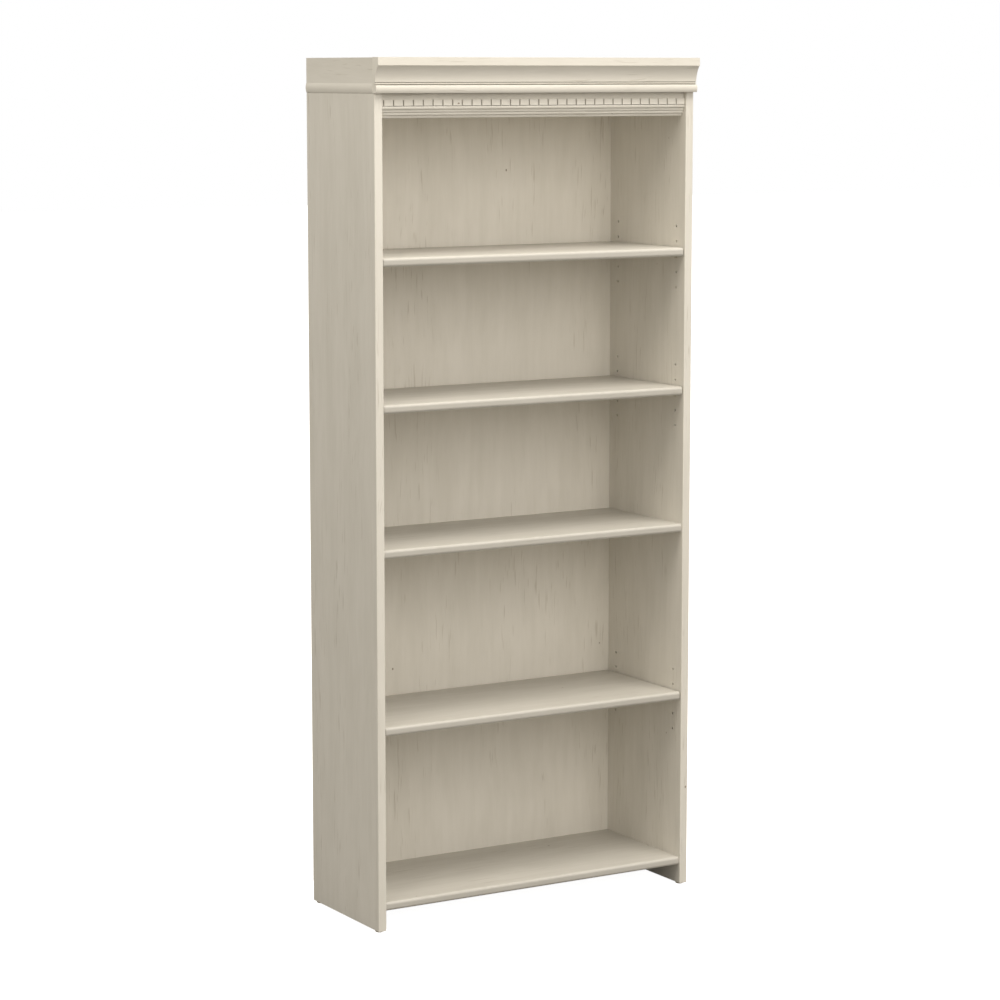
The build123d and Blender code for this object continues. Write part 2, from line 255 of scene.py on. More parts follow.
class Shape:
    """A piece's mesh while it is worked, with a mask of the edges that were rounded."""

    def __init__(self) -> None:
        """Starts with an empty mesh."""
        self.bm = bmesh.new()
        self.mask = self.bm.faces.layers.float.new(EDGE_MASK)

    def block(self, low: Vector, high: Vector) -> list[BMVert]:
        """Adds a rectangular solid.

        Args:
            low: Its lowest corner.
            high: Its highest corner.

        Returns:
            Its corners.
        """
        place = Matrix.LocRotScale((low + high) / 2, None, high - low)
        return bmesh.ops.create_cube(self.bm, size=1.0, matrix=place)["verts"]

    def ease(self, edges: Iterable[BMEdge], radius: float, segments: int = 2) -> None:
        """Rounds edges and marks the new faces.

        Args:
            edges: The edges.
            radius: How far the rounding reaches.
            segments: Flats across it; two are enough where an edge is only softened.
        """
        made = bmesh.ops.bevel(self.bm, geom=list(edges), offset=radius, offset_type="OFFSET",
                               segments=segments, profile=0.5, affect="EDGES",
                               clamp_overlap=True, material=-1)
        for face in made["faces"]:
            face[self.mask] = 1.0

    def arrises(self) -> list[BMEdge]:
        """The edges that stand out sharply."""
        return [edge for edge in self.bm.edges
                if edge.is_manifold and edge.is_convex and edge.calc_face_angle(0.0) > SHARP_ANGLE]

    def front_edges(self, along: Vector) -> list[BMEdge]:
        """Finds the edges at the very front that run one way.

        Args:
            along: Their direction.

        Returns:
            The edges.
        """
        front = min(vert.co.y for vert in self.bm.verts) + LEVEL
        return [edge for edge in self.bm.edges
                if all(vert.co.y < front for vert in edge.verts) and self.runs(edge, along)]

    @staticmethod
    def runs(edge: BMEdge, along: Vector) -> bool:
        """Tells whether an edge runs one way.

        Args:
            edge: The edge.
            along: The direction.

        Returns:
            Whether it does, either way round.
        """
        first, last = (vert.co for vert in edge.verts)
        return abs((last - first).normalized().dot(along)) > ALIGNED

    def faces_towards(self, direction: Vector) -> list[BMFace]:
        """Finds the flat faces that look one way, the largest first.

        Args:
            direction: Where they look.

        Returns:
            The faces.
        """
        found = [face for face in self.bm.faces if face.normal.dot(direction) > ALIGNED]
        return sorted(found, key=lambda face: -face.calc_area())

    def leave_raw(self, *directions: Vector) -> None:
        """Gives the large faces that look these ways the raw board's material.

        Args:
            *directions: Where the faces look.
        """
        for direction in directions:
            self.faces_towards(direction)[0].material_index = RAW

    def band_front(self) -> None:
        """Gives the faces along the front edge the edge strip's material, the foil painted lighter as a
        highlight.
        """
        front = min(vert.co.y for vert in self.bm.verts)
        for face in self.bm.faces:
            if face.normal.y < -0.05 and face.calc_center_bounds().y < front + BAND_REACH:
                face.material_index = LIT_FRONT_STRIP

    def raise_faces(self, faces: Sequence[BMFace], way: Vector) -> list[BMVert]:
        """Raises flat faces to a new level, with walls round them.

        Args:
            faces: The faces.
            way: How far, and which way.

        Returns:
            The corners at the new level.
        """
        made = bmesh.ops.extrude_face_region(self.bm, geom=faces)
        verts = [item for item in made["geom"] if isinstance(item, BMVert)]
        bmesh.ops.delete(self.bm, geom=list(faces), context="FACES_ONLY")
        bmesh.ops.translate(self.bm, vec=way, verts=verts)
        bmesh.ops.recalc_face_normals(self.bm, faces=self.bm.faces)
        return verts

    def turn(self, face: BMFace, turnings: Sequence[Turning]) -> None:
        """Works round holes or stems into one flat face.

        Args:
            face: The face, which is filled again around them.
            turnings: The holes and stems.
        """
        outward, material = face.normal.copy(), face.material_index
        rim = list(face.edges)
        bmesh.ops.delete(self.bm, geom=[face], context="FACES_ONLY")
        for attempt in range(FILL_TRIES):
            rings = [self.ring(turning, outward, attempt + RING_TURN * number)
                     for number, turning in enumerate(turnings)]
            borders = rim + [edge for ring in rings for edge in self.edges_between(ring)]
            filled = bmesh.ops.triangle_fill(self.bm, use_beauty=True, use_dissolve=False,
                                             edges=borders, normal=outward)
            faces = [made for made in filled["geom"] if isinstance(made, BMFace)]
            if self.well_filled(rim, rings):
                break
            bmesh.ops.delete(self.bm, geom=faces, context="FACES")
            stray = [vert for ring in rings for vert in ring if vert.is_valid]
            bmesh.ops.delete(self.bm, geom=stray, context="VERTS")
        else:
            raise RuntimeError("a face could not be filled round its holes and stems")
        for made in faces:
            made.material_index = material
        for turning, ring in zip(turnings, rings):
            self.follow(turning, ring, outward)

    def well_filled(self, rim: list[BMEdge], rings: list[list[BMVert]]) -> bool:
        """Tells whether a filling meets each border once and stays out of the rings.

        Args:
            rim: The face's outer edges.
            rings: The corners of the rings in it.

        Returns:
            Whether it does.
        """
        for ring in rings:
            edges = self.edges_between(ring)
            if len(edges) != len(ring) or any(len(edge.link_faces) != 1 for edge in edges):
                return False
        return all(len(edge.link_faces) == 2 for edge in rim)

    def ring(self, turning: Turning, outward: Vector, phase: float) -> list[BMVert]:
        """Draws the first circle of a turning.

        Args:
            turning: The hole or stem.
            outward: The face's normal.
            phase: How far it is turned, in radians.

        Returns:
            The circle's corners.
        """
        place = Matrix.LocRotScale(turning.centre, outward.to_track_quat("Z", "Y"), None)
        place = place @ Matrix.Rotation(phase, 4, "Z")
        made = bmesh.ops.create_circle(self.bm, cap_ends=False, segments=turning.segments,
                                       radius=turning.profile[0][0], matrix=place)
        return made["verts"]

    def follow(self, turning: Turning, ring: list[BMVert], outward: Vector) -> None:
        """Carries a circle along a turning's profile and closes its end.

        Args:
            turning: The hole or stem.
            ring: The corners of its first circle.
            outward: The face's normal.
        """
        for (radius, out), (next_radius, next_out) in zip(turning.profile, turning.profile[1:]):
            made = bmesh.ops.extrude_edge_only(self.bm, edges=self.edges_between(ring))
            ring = [item for item in made["geom"] if isinstance(item, BMVert)]
            at_centre = Matrix.Translation(-turning.centre - outward * out)
            factor = next_radius / radius
            bmesh.ops.scale(self.bm, vec=(factor, factor, factor), space=at_centre, verts=ring)
            bmesh.ops.translate(self.bm, vec=outward * (next_out - out), verts=ring)
        bmesh.ops.contextual_create(self.bm, geom=self.edges_between(ring))

    @staticmethod
    def edges_between(verts: Iterable[BMVert]) -> list[BMEdge]:
        """Finds the edges that join corners to each other.

        Args:
            verts: The corners.

        Returns:
            The edges.
        """
        inside = set(verts)
        return list({edge for vert in inside for edge in vert.link_edges
                     if edge.other_vert(vert) in inside})

    def tidy(self) -> None:
        """Merges doubled corners and turns every face outwards."""
        bmesh.ops.remove_doubles(self.bm, verts=self.bm.verts, dist=MERGE)
        bmesh.ops.recalc_face_normals(self.bm, faces=self.bm.faces)


class Outline:
    """A section or profile that is drawn from point to point."""

    def __init__(self, shape: Shape, start: Vector) -> None:
        """Puts down the first point.

        Args:
            shape: The shape that it is drawn in.
            start: The first point.
        """
        self.bm = shape.bm
        self.start = bmesh.ops.create_vert(self.bm, co=start)["vert"][0]
        self.tip = self.start

    def line(self, *points: Vector) -> "Outline":
        """Draws straight lines through points.

        Args:
            *points: Where each line ends.

        Returns:
            The outline, to draw on.
        """
        for point in points:
            made = bmesh.ops.extrude_vert_indiv(self.bm, verts=[self.tip])
            self.tip = made["verts"][0]
            bmesh.ops.translate(self.bm, vec=point - self.tip.co, verts=[self.tip])
        return self

    def arc(self, middle: Vector, end: Vector, steps: int) -> "Outline":
        """Draws a circular arc through a middle point.

        Args:
            middle: A point on the arc.
            end: Where it ends.
            steps: Flats along it.

        Returns:
            The outline, to draw on.
        """
        start = self.tip.co.copy()
        first, second = middle - start, end - start
        axis = first.cross(second)
        centre = start + (axis.cross(first) * second.length_squared
                          + second.cross(axis) * first.length_squared) / (2 * axis.length_squared)
        axis.normalize()
        arm, far = start - centre, end - centre
        angle = math.atan2(arm.cross(far).dot(axis), arm.dot(far)) % math.tau
        made = bmesh.ops.spin(self.bm, geom=[self.tip], cent=centre, axis=axis, dvec=(0, 0, 0),
                              angle=angle, steps=steps, use_merge=False, use_duplicate=False)
        self.tip = next(item for item in made["geom_last"] if isinstance(item, BMVert))
        return self

    def push(self, way: Vector) -> None:
        """Closes the outline to a face and pushes it to a solid.

        Args:
            way: How far, and which way.
        """
        loop, vert, came = [], self.tip, None
        while vert is not self.start:
            came = next(edge for edge in vert.link_edges if edge is not came)
            loop.append(came)
            vert = came.other_vert(vert)
        closing = bmesh.ops.contextual_create(self.bm, geom=[self.start, self.tip])["edges"]
        face = bmesh.ops.contextual_create(self.bm, geom=loop + closing)["faces"]
        made = bmesh.ops.extrude_face_region(self.bm, geom=face, use_keep_orig=True)
        far = [item for item in made["geom"] if isinstance(item, BMVert)]
        bmesh.ops.translate(self.bm, vec=way, verts=far)
        bmesh.ops.recalc_face_normals(self.bm, faces=self.bm.faces)


def place_piece(name: str, shape: Shape, materials: Sequence[bpy.types.Material], node: str) -> None:
    """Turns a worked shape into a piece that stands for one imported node.

    Args:
        name: The piece's name.
        shape: The finished shape.
        materials: Its materials, in the order of its material places.
        node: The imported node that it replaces, and whose body carries it.
    """
    shape.tidy()
    mesh = bpy.data.meshes.new(name)
    shape.bm.to_mesh(mesh)
    shape.bm.free()
    mesh.shade_smooth()
    mesh.set_sharp_from_angle(angle=SHARP_ANGLE)
    for material in materials:
        mesh.materials.append(material)
    piece = bpy.data.objects.new(name, mesh)
    bpy.context.scene.collection.objects.link(piece)
    weights = piece.modifiers.new("face_weights", "WEIGHTED_NORMAL")
    weights.keep_sharp = True
    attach(piece, PACKED.body[node])
    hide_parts(node)
    LOG.info("%s: %d faces, rides with %s", name, len(mesh.polygons), PACKED.body[node])


# ---- Finishes ------------------------------------------------------------------------

class Graph:
    """Adds nodes to a node tree and links them."""

    def __init__(self, tree: bpy.types.NodeTree) -> None:
        """Takes the tree to work on.

        Args:
            tree: A material's, group's or world's tree.
        """
        self.tree = tree

    def node(self, kind: str, inputs: Optional[dict[Union[str, int], Any]] = None,
             **settings: Any) -> bpy.types.Node:
        """Adds a node.

        Args:
            kind: Its type, without the word ShaderNode.
            inputs: What goes into its sockets: a value, or another node's output.
            **settings: The node's own settings.

        Returns:
            The node.
        """
        made = self.tree.nodes.new("ShaderNode" + kind)
        for name, value in settings.items():
            setattr(made, name, value)
        for socket, value in (inputs or {}).items():
            if isinstance(value, bpy.types.NodeSocket):
                self.tree.links.new(value, made.inputs[socket])
            else:
                made.inputs[socket].default_value = value
        return made

    def effect(self, tree: bpy.types.NodeTree, **inputs: Any) -> bpy.types.bpy_prop_collection:
        """Places a shader node group.

        Args:
            tree: The group's tree.
            **inputs: What goes into its inputs.

        Returns:
            Its outputs.
        """
        return self.node("Group", inputs, node_tree=tree).outputs

    def math(self, operation: str, *values: Any) -> bpy.types.NodeSocket:
        """A sum on one, two or three values.

        Args:
            operation: The operation.
            *values: Numbers or outputs.

        Returns:
            The result.
        """
        return self.node("Math", dict(enumerate(values)), operation=operation).outputs[0]

    def stretch(self, vector: bpy.types.NodeSocket, across: float, along: float) -> bpy.types.NodeSocket:
        """Scales coordinates differently across and along an upright grain.

        Args:
            vector: The coordinates.
            across: Cells in a metre across the grain.
            along: Cells in a metre along it.

        Returns:
            The scaled coordinates.
        """
        made = self.node("VectorMath", {0: vector, 1: (across, across, along)}, operation="MULTIPLY")
        return made.outputs[0]

    def noise(self, vector: bpy.types.NodeSocket, scale: float = 1.0, detail: float = 2.0,
              roughness: float = 0.5, distortion: float = 0.0) -> bpy.types.NodeSocket:
        """A noise value.

        Args:
            vector: The coordinates.
            scale: Cells in a unit of the coordinates.
            detail: Finer layers.
            roughness: How strong those layers are.
            distortion: How much the pattern swirls.

        Returns:
            The value, around a half.
        """
        inputs = {"Vector": vector, "Scale": scale, "Detail": detail, "Roughness": roughness,
                  "Distortion": distortion}
        return self.node("TexNoise", inputs).outputs["Fac"]

    def step(self, value: bpy.types.NodeSocket, low: float, high: float, to_low: float = 0.0,
             to_high: float = 1.0) -> bpy.types.NodeSocket:
        """Eases a value from one level to another between two limits.

        Args:
            value: The value.
            low: Where it starts to change.
            high: Where it has changed.
            to_low: The level before.
            to_high: The level after.

        Returns:
            The eased value.
        """
        inputs = {0: value, 1: low, 2: high, 3: to_low, 4: to_high}
        return self.node("MapRange", inputs, interpolation_type="SMOOTHSTEP").outputs[0]

    def mix(self, factor: Any, first: Any, second: Any, blend: str = "MIX") -> bpy.types.NodeSocket:
        """Mixes two colours.

        Args:
            factor: How much of the second.
            first: The first colour.
            second: The second colour.
            blend: How they mix.

        Returns:
            The mixed colour.
        """
        inputs = {0: factor, 6: first, 7: second}
        return self.node("Mix", inputs, data_type="RGBA", blend_type=blend).outputs[2]

    def own_coordinates(self, shift: tuple[float, float, float] = (0.0, 0.0, 0.0),
                        grain: Grain = Grain.UPRIGHT) -> bpy.types.NodeSocket:
        """The piece's own coordinates, with its grain stood upright.

        Args:
            shift: Where in the pattern the piece is cut from.
            grain: Which way its grain runs.

        Returns:
            The coordinates.
        """
        own = self.node("TexCoord").outputs["Object"]
        inputs = {"Vector": own, "Location": shift, "Rotation": grain.value}
        return self.node("Mapping", inputs, vector_type="POINT").outputs[0]

    def surface(self, colour: Any, roughness: Any, height: Optional[bpy.types.NodeSocket] = None,
                depth: float = 0.1 * MM, **constants: float) -> None:
        """Ends a material with its shader.

        Args:
            colour: Base colour.
            roughness: Roughness.
            height: What raises the surface, if anything does.
            depth: How deep that relief is.
            **constants: Other sockets of the shader, with _ for each space.
        """
        shader = self.node("BsdfPrincipled", {"Base Color": colour, "Roughness": roughness})
        for name, value in constants.items():
            shader.inputs[name.replace("_", " ").title().replace("Ior", "IOR")].default_value = value
        if height is not None:
            bump = self.node("Bump", {"Height": height, "Distance": depth, "Strength": 1.0})
            self.tree.links.new(bump.outputs[0], shader.inputs["Normal"])
        end = self.node("OutputMaterial")
        self.tree.links.new(shader.outputs[0], end.inputs["Surface"])


@dataclass(frozen=True)
class Layer:
    """One layer of a wood figure.

    Attributes:
        across: Cells in a metre across the grain.
        along: Cells in a metre along it.
        weight: Its share of the tone.
        detail: Finer layers inside it.
    """

    across: float
    along: float
    weight: float = 1.0
    detail: float = 2.0

    def build(self, graph: Graph, vector: bpy.types.NodeSocket) -> bpy.types.NodeSocket:
        """Adds the layer's noise to a tree.

        Args:
            graph: The tree.
            vector: The coordinates, with the grain upright.

        Returns:
            The layer's value, around a half.
        """
        return graph.noise(graph.stretch(vector, self.across, self.along), detail=self.detail)


@dataclass(frozen=True)
class WoodFigure:
    """The layers of a wood figure under a white wash.

    Attributes:
        tones: The layers that add up to its tone.
        strokes: The fine dark strokes.
        patches: Where those strokes gather.
        bend: How far the grain wanders sideways.
        wander: The layer that makes it wander.
        stroke_edge: Where in their layer the strokes begin, and where they are full.
        patch_edge: The same for the patches.
        tone_span: The sums of the layers that are the deepest and the palest tone.
    """

    tones: tuple[Layer, ...] = (Layer(13.0, 1.5, 0.34), Layer(70.0, 6.5, 0.30, 3.0),
                                Layer(24.0, 9.0, 0.24, 3.0), Layer(400.0, 30.0, 0.12))
    strokes: Layer = Layer(230.0, 15.0, detail=1.5)
    patches: Layer = Layer(18.0, 3.0, detail=1.0)
    bend: float = 0.024
    wander: Layer = Layer(5.0, 4.0, detail=1.0)
    stroke_edge: tuple[float, float] = (0.60, 0.74)
    patch_edge: tuple[float, float] = (0.44, 0.64)
    tone_span: tuple[float, float] = (0.34, 0.66)

    def build(self, graph: Graph, given: Any) -> dict[str, bpy.types.NodeSocket]:
        """Builds the figure's nodes.

        Args:
            graph: The group's tree.
            given: The group's inputs.

        Returns:
            Tone and Pores from 0 to 1, and Height.
        """
        wander = graph.math("SUBTRACT", self.wander.build(graph, given["Vector"]), 0.5)
        sideways = graph.math("MULTIPLY", wander, self.bend)
        offset = graph.node("CombineXYZ", {"X": sideways, "Y": sideways}).outputs[0]
        vector = graph.node("VectorMath", {0: given["Vector"], 1: offset}, operation="ADD").outputs[0]
        tone: Any = 0.0
        for layer in self.tones:
            tone = graph.math("MULTIPLY_ADD", layer.build(graph, vector), layer.weight, tone)
        strokes = graph.step(self.strokes.build(graph, vector), *self.stroke_edge)
        patches = graph.step(self.patches.build(graph, vector), *self.patch_edge)
        pores = graph.math("MULTIPLY", strokes, patches)
        height = graph.math("SUBTRACT", tone, pores)
        return {"Tone": graph.step(tone, *self.tone_span), "Pores": pores, "Height": height}


class Effects:
    """Shader node groups that more than one finish uses, each built once."""

    def __init__(self) -> None:
        """Starts with none built."""
        self.built: dict[str, bpy.types.NodeTree] = {}

    def group(self, name: str, inputs: dict[str, str], outputs: dict[str, str],
              fill: Callable[[Graph, Any], dict[str, bpy.types.NodeSocket]]) -> bpy.types.NodeTree:
        """Gives a group, building it the first time.

        Args:
            name: The group's name.
            inputs: Input names, with their socket types.
            outputs: Output names, with their socket types.
            fill: Builds its nodes, and returns what goes to each output.

        Returns:
            The group's tree.
        """
        if name not in self.built:
            tree = bpy.data.node_groups.new(name, "ShaderNodeTree")
            for socket, kind in inputs.items():
                tree.interface.new_socket(socket, in_out="INPUT", socket_type="NodeSocket" + kind)
            for socket, kind in outputs.items():
                tree.interface.new_socket(socket, in_out="OUTPUT", socket_type="NodeSocket" + kind)
            start, end = tree.nodes.new("NodeGroupInput"), tree.nodes.new("NodeGroupOutput")
            for socket, value in fill(Graph(tree), start.outputs).items():
                tree.links.new(value, end.inputs[socket])
            self.built[name] = tree
        return self.built[name]

    def wood_figure(self) -> bpy.types.NodeTree:
        """The figure of wood: takes a Vector with the grain upright, gives Tone, Pores and Height."""
        outputs = {"Tone": "Float", "Pores": "Float", "Height": "Float"}
        return self.group("wood_figure", {"Vector": "Vector"}, outputs, WoodFigure().build)

    def knots(self) -> bpy.types.NodeTree:
        """Small dark knots, far apart: takes a Vector, gives a Mask."""
        return self.group("knots", {"Vector": "Vector"}, {"Mask": "Float"}, self.draw_knots)

    def worn_edges(self) -> bpy.types.NodeTree:
        """Where rounded edges show wear, and where the laminate paints a highlight on them: takes a
        Vector, gives a Mask.
        """
        return self.group("worn_edges", {"Vector": "Vector"}, {"Mask": "Float"}, self.draw_wear)

    def mottle(self) -> bpy.types.NodeTree:
        """Uneven clouds and specks: takes a Vector and a Scale, gives Clouds and Specks."""
        outputs = {"Clouds": "Float", "Specks": "Float"}
        return self.group("mottle", {"Vector": "Vector", "Scale": "Float"}, outputs, self.draw_mottle)

    @staticmethod
    def draw_knots(graph: Graph, given: Any) -> dict[str, bpy.types.NodeSocket]:
        """Builds the knots' nodes.

        Args:
            graph: The group's tree.
            given: The group's inputs.

        Returns:
            The mask.
        """
        squeezed = graph.stretch(given["Vector"], 1.0, 0.7)
        cells = graph.node("TexVoronoi", {"Vector": squeezed, "Scale": 13.0}, feature="F1")
        dot = graph.step(cells.outputs["Distance"], 0.012, 0.032, 1.0, 0.0)
        return {"Mask": dot}

    @staticmethod
    def draw_wear(graph: Graph, given: Any) -> dict[str, bpy.types.NodeSocket]:
        """Builds the nodes of the edges with wear and a painted highlight.

        Args:
            graph: The group's tree.
            given: The group's inputs.

        Returns:
            The mask.
        """
        edge = graph.node("Attribute", attribute_name=EDGE_MASK, attribute_type="GEOMETRY")
        patchy = graph.step(graph.noise(given["Vector"], 60.0, 3), 0.40, 0.62, 0.35, 1.0)
        return {"Mask": graph.math("MULTIPLY", edge.outputs["Fac"], patchy)}

    @staticmethod
    def draw_mottle(graph: Graph, given: Any) -> dict[str, bpy.types.NodeSocket]:
        """Builds the nodes of clouds and specks.

        Args:
            graph: The group's tree.
            given: The group's inputs.

        Returns:
            The clouds and the specks.
        """
        clouds = graph.node("TexNoise", {"Vector": given["Vector"], "Scale": given["Scale"],
                                         "Detail": 4.0, "Roughness": 0.55})
        fine = graph.math("MULTIPLY", given["Scale"], 6.0)
        specks = graph.node("TexNoise", {"Vector": given["Vector"], "Scale": fine, "Detail": 2.0})
        return {"Clouds": graph.step(clouds.outputs["Fac"], 0.3, 0.7),
                "Specks": graph.step(specks.outputs["Fac"], 0.35, 0.65)}


EFFECTS = Effects()


def new_material(name: str) -> tuple[bpy.types.Material, Graph]:
    """Makes an empty node material.

    Args:
        name: The material's name.

    Returns:
        The material, and the graph to fill it with.
    """
    material = bpy.data.materials.new(name)
    material.use_nodes = True
    material.node_tree.nodes.clear()
    return material, Graph(material.node_tree)


@dataclass(frozen=True)
class Laminate:
    """Antique white foil with a whitewashed wood figure.

    Attributes:
        name: The material's name.
        grain: Which way its figure runs.
        shift: Where in the figure the piece is cut from.
        wash: Its level of painted light and painted shade, a factor on all its colours.
        pale: The whitewash where it lies thick.
        deep: The whitewash where the grain shows through.
        pore: The fine dark strokes.
        knot: The small knots.
        rubbed: The foil over a rounded edge, lighter: wear there and a painted highlight.
        pore_share: How strongly the strokes show.
        rubbed_share: How strongly that wear and painted highlight show.
        knot_share: How strongly the knots show.
        satin: Roughness of the foil where the grain shows through.
        tone_polish: How much smoother it is where the whitewash lies thick.
        worn_polish: How much smoother it is on edges smoothed by wear.
        relief: Depth of the embossed grain.
    """

    name: str
    grain: Grain
    shift: tuple[float, float, float]
    wash: Wash = Wash.BOARD
    pale: Colour = paint(225, 221, 213)
    deep: Colour = paint(216, 212, 203)
    pore: Colour = paint(178, 170, 156)
    knot: Colour = paint(118, 98, 74)
    # lighter on rounded edges: wear there, and a painted highlight
    rubbed: Colour = paint(231, 227, 219)
    pore_share: float = 0.42
    rubbed_share: float = 0.5
    knot_share: float = 0.8
    satin: float = 0.52
    tone_polish: float = 0.08
    worn_polish: float = 0.10
    relief: float = 0.04 * MM

    def washed(self, colour: Colour) -> Colour:
        """A colour scaled by the piece's level of painted light and painted shade."""
        red, green, blue = (min(channel * self.wash.value, 1.0) for channel in colour[:3])
        return (red, green, blue, 1.0)

    def build(self) -> bpy.types.Material:
        """Builds the material.

        Returns:
            The material.
        """
        material, graph = new_material(self.name)
        vector = graph.own_coordinates(self.shift, self.grain)
        figure = graph.effect(EFFECTS.wood_figure(), Vector=vector)
        knots = graph.effect(EFFECTS.knots(), Vector=vector)["Mask"]
        wear_highlight = graph.effect(EFFECTS.worn_edges(), Vector=vector)["Mask"]
        # every colour is scaled by the piece's level of painted light and painted shade
        colour = graph.mix(figure["Tone"], self.washed(self.deep), self.washed(self.pale))
        # rounded edges turn lighter: wear, and a painted highlight
        for mask, share, over in ((figure["Pores"], self.pore_share, self.pore),
                                  (wear_highlight, self.rubbed_share, self.rubbed),
                                  (knots, self.knot_share, self.knot)):
            colour = graph.mix(graph.math("MULTIPLY", mask, share), colour, self.washed(over))
        rough = graph.math("MULTIPLY_ADD", figure["Tone"], -self.tone_polish, self.satin)
        rough = graph.math("MULTIPLY_ADD", wear_highlight, -self.worn_polish, rough)
        graph.surface(colour, rough, figure["Height"], self.relief)
        return material


@dataclass(frozen=True)
class Chipboard:
    """The raw core of a board, where no foil covers it.

    Attributes:
        name: The material's name.
        light: The palest chips.
        dark: The darkest chips.
        chips: Chips in a metre.
        clouds: Clouds in a metre, where the chips are pale.
        cloud_share: How strongly the clouds show.
        relief: Height of the chips.
    """

    name: str = "raw_chipboard"
    light: Colour = paint(203, 176, 134)
    dark: Colour = paint(146, 113, 76)
    chips: float = 330.0
    clouds: float = 120.0
    cloud_share: float = 0.4
    relief: float = 0.2 * MM

    def build(self) -> bpy.types.Material:
        """Builds the material.

        Returns:
            The material.
        """
        material, graph = new_material(self.name)
        vector = graph.own_coordinates()
        scaled = graph.stretch(vector, self.chips, self.chips)
        chips = graph.node("TexVoronoi", {"Vector": scaled, "Scale": 1.0})
        cloud = graph.effect(EFFECTS.mottle(), Vector=vector, Scale=self.clouds)
        shade = graph.node("SeparateColor", {0: chips.outputs["Color"]}).outputs[0]
        colour = graph.mix(shade, self.dark, self.light)
        pale = graph.math("MULTIPLY", cloud["Clouds"], self.cloud_share)
        colour = graph.mix(pale, colour, self.light)
        graph.surface(colour, graph.step(cloud["Specks"], 0, 1, 0.78, 0.92), shade, self.relief)
        return material


@dataclass(frozen=True)
class Hardboard:
    """The bare rear of a pressed fibre sheet, with its fine screen pattern.

    Attributes:
        name: The material's name.
        brown: Its colour.
        pale: The same in its paler clouds and flecks.
        screen: Wires in a metre of the screen that it was pressed on.
        clouds: Clouds in a metre.
        fleck_share: How strongly the flecks show.
        relief: Depth of the screen's print.
    """

    name: str = "bare_hardboard"
    brown: Colour = paint(134, 100, 69)
    pale: Colour = paint(145, 110, 77)
    screen: float = 900.0
    clouds: float = 30.0
    fleck_share: float = 0.35
    relief: float = 0.06 * MM

    def build(self) -> bpy.types.Material:
        """Builds the material.

        Returns:
            The material.
        """
        material, graph = new_material(self.name)
        vector = graph.own_coordinates()
        cloud = graph.effect(EFFECTS.mottle(), Vector=vector, Scale=self.clouds)
        wires = graph.node("VectorMath", {0: vector, 1: (self.screen * math.tau,) * 3},
                           operation="MULTIPLY")
        waves = graph.node("VectorMath", {0: wires.outputs[0]}, operation="SINE").outputs[0]
        parts = graph.node("SeparateXYZ", {0: waves}).outputs
        mesh = graph.math("MULTIPLY", parts["X"], parts["Z"])
        colour = graph.mix(cloud["Clouds"], self.brown, self.pale)
        fleck = graph.math("MULTIPLY", cloud["Specks"], self.fleck_share)
        colour = graph.mix(fleck, colour, self.pale)
        graph.surface(colour, graph.step(cloud["Specks"], 0, 1, 0.70, 0.86), mesh, self.relief)
        return material


@dataclass(frozen=True)
class Metal:
    """Plated or cast metal with faint clouds and tool marks.

    Attributes:
        name: The material's name.
        bright: Its clean colour.
        dull: Its stained colour.
        smooth: Roughness where it is clean.
        rough: Roughness where it is dull.
        clouds: Clouds in a metre.
        worn_share: How strongly the wear on its edges shows.
        relief: Height of its specks.
    """

    name: str
    bright: Colour
    dull: Colour
    smooth: float
    rough: float
    clouds: float = 260.0
    worn_share: float = 0.6
    relief: float = 0.01 * MM

    def build(self) -> bpy.types.Material:
        """Builds the material.

        Returns:
            The material.
        """
        material, graph = new_material(self.name)
        vector = graph.own_coordinates()
        cloud = graph.effect(EFFECTS.mottle(), Vector=vector, Scale=self.clouds)
        wear_highlight = graph.effect(EFFECTS.worn_edges(), Vector=vector)["Mask"]
        colour = graph.mix(cloud["Clouds"], self.dull, self.bright)
        colour = graph.mix(graph.math("MULTIPLY", wear_highlight, self.worn_share), colour, self.bright)
        rough = graph.step(cloud["Clouds"], 0, 1, self.rough, self.smooth)
        graph.surface(colour, rough, cloud["Specks"], self.relief, metallic=1.0)
        return material


@dataclass(frozen=True)
class Nylon:
    """Moulded nylon, a little scuffed.

    Attributes:
        name: The material's name.
        body: Its colour.
        scuffed: The same where it is scuffed.
        clouds: Scuffs in a metre.
        relief: Height of its specks.
    """

    name: str = "moulded_nylon"
    body: Colour = paint(168, 152, 128)
    scuffed: Colour = paint(136, 121, 99)
    clouds: float = 180.0
    relief: float = 0.02 * MM

    def build(self) -> bpy.types.Material:
        """Builds the material.

        Returns:
            The material.
        """
        material, graph = new_material(self.name)
        vector = graph.own_coordinates()
        cloud = graph.effect(EFFECTS.mottle(), Vector=vector, Scale=self.clouds)
        colour = graph.mix(cloud["Clouds"], self.scuffed, self.body)
        rough = graph.step(cloud["Specks"], 0, 1, 0.42, 0.62)
        graph.surface(colour, rough, cloud["Specks"], self.relief)
        return material


@dataclass(frozen=True)
class Beech:
    """Plain turned beech, for dowels.

    Attributes:
        name: The material's name.
        grain: Which way its figure runs.
        pale: The early wood.
        deep: The late wood and the pores.
        pore_share: How strongly the pores show.
        relief: Depth of the grain.
    """

    name: str
    grain: Grain
    pale: Colour = paint(222, 190, 146)
    deep: Colour = paint(190, 150, 104)
    pore_share: float = 0.5
    relief: float = 0.05 * MM

    def build(self) -> bpy.types.Material:
        """Builds the material.

        Returns:
            The material.
        """
        material, graph = new_material(self.name)
        vector = graph.own_coordinates(grain=self.grain)
        figure = graph.effect(EFFECTS.wood_figure(), Vector=vector)
        colour = graph.mix(figure["Tone"], self.deep, self.pale)
        pores = graph.math("MULTIPLY", figure["Pores"], self.pore_share)
        colour = graph.mix(pores, colour, self.deep)
        rough = graph.step(figure["Tone"], 0, 1, 0.66, 0.56)
        graph.surface(colour, rough, figure["Height"], self.relief)
        return material


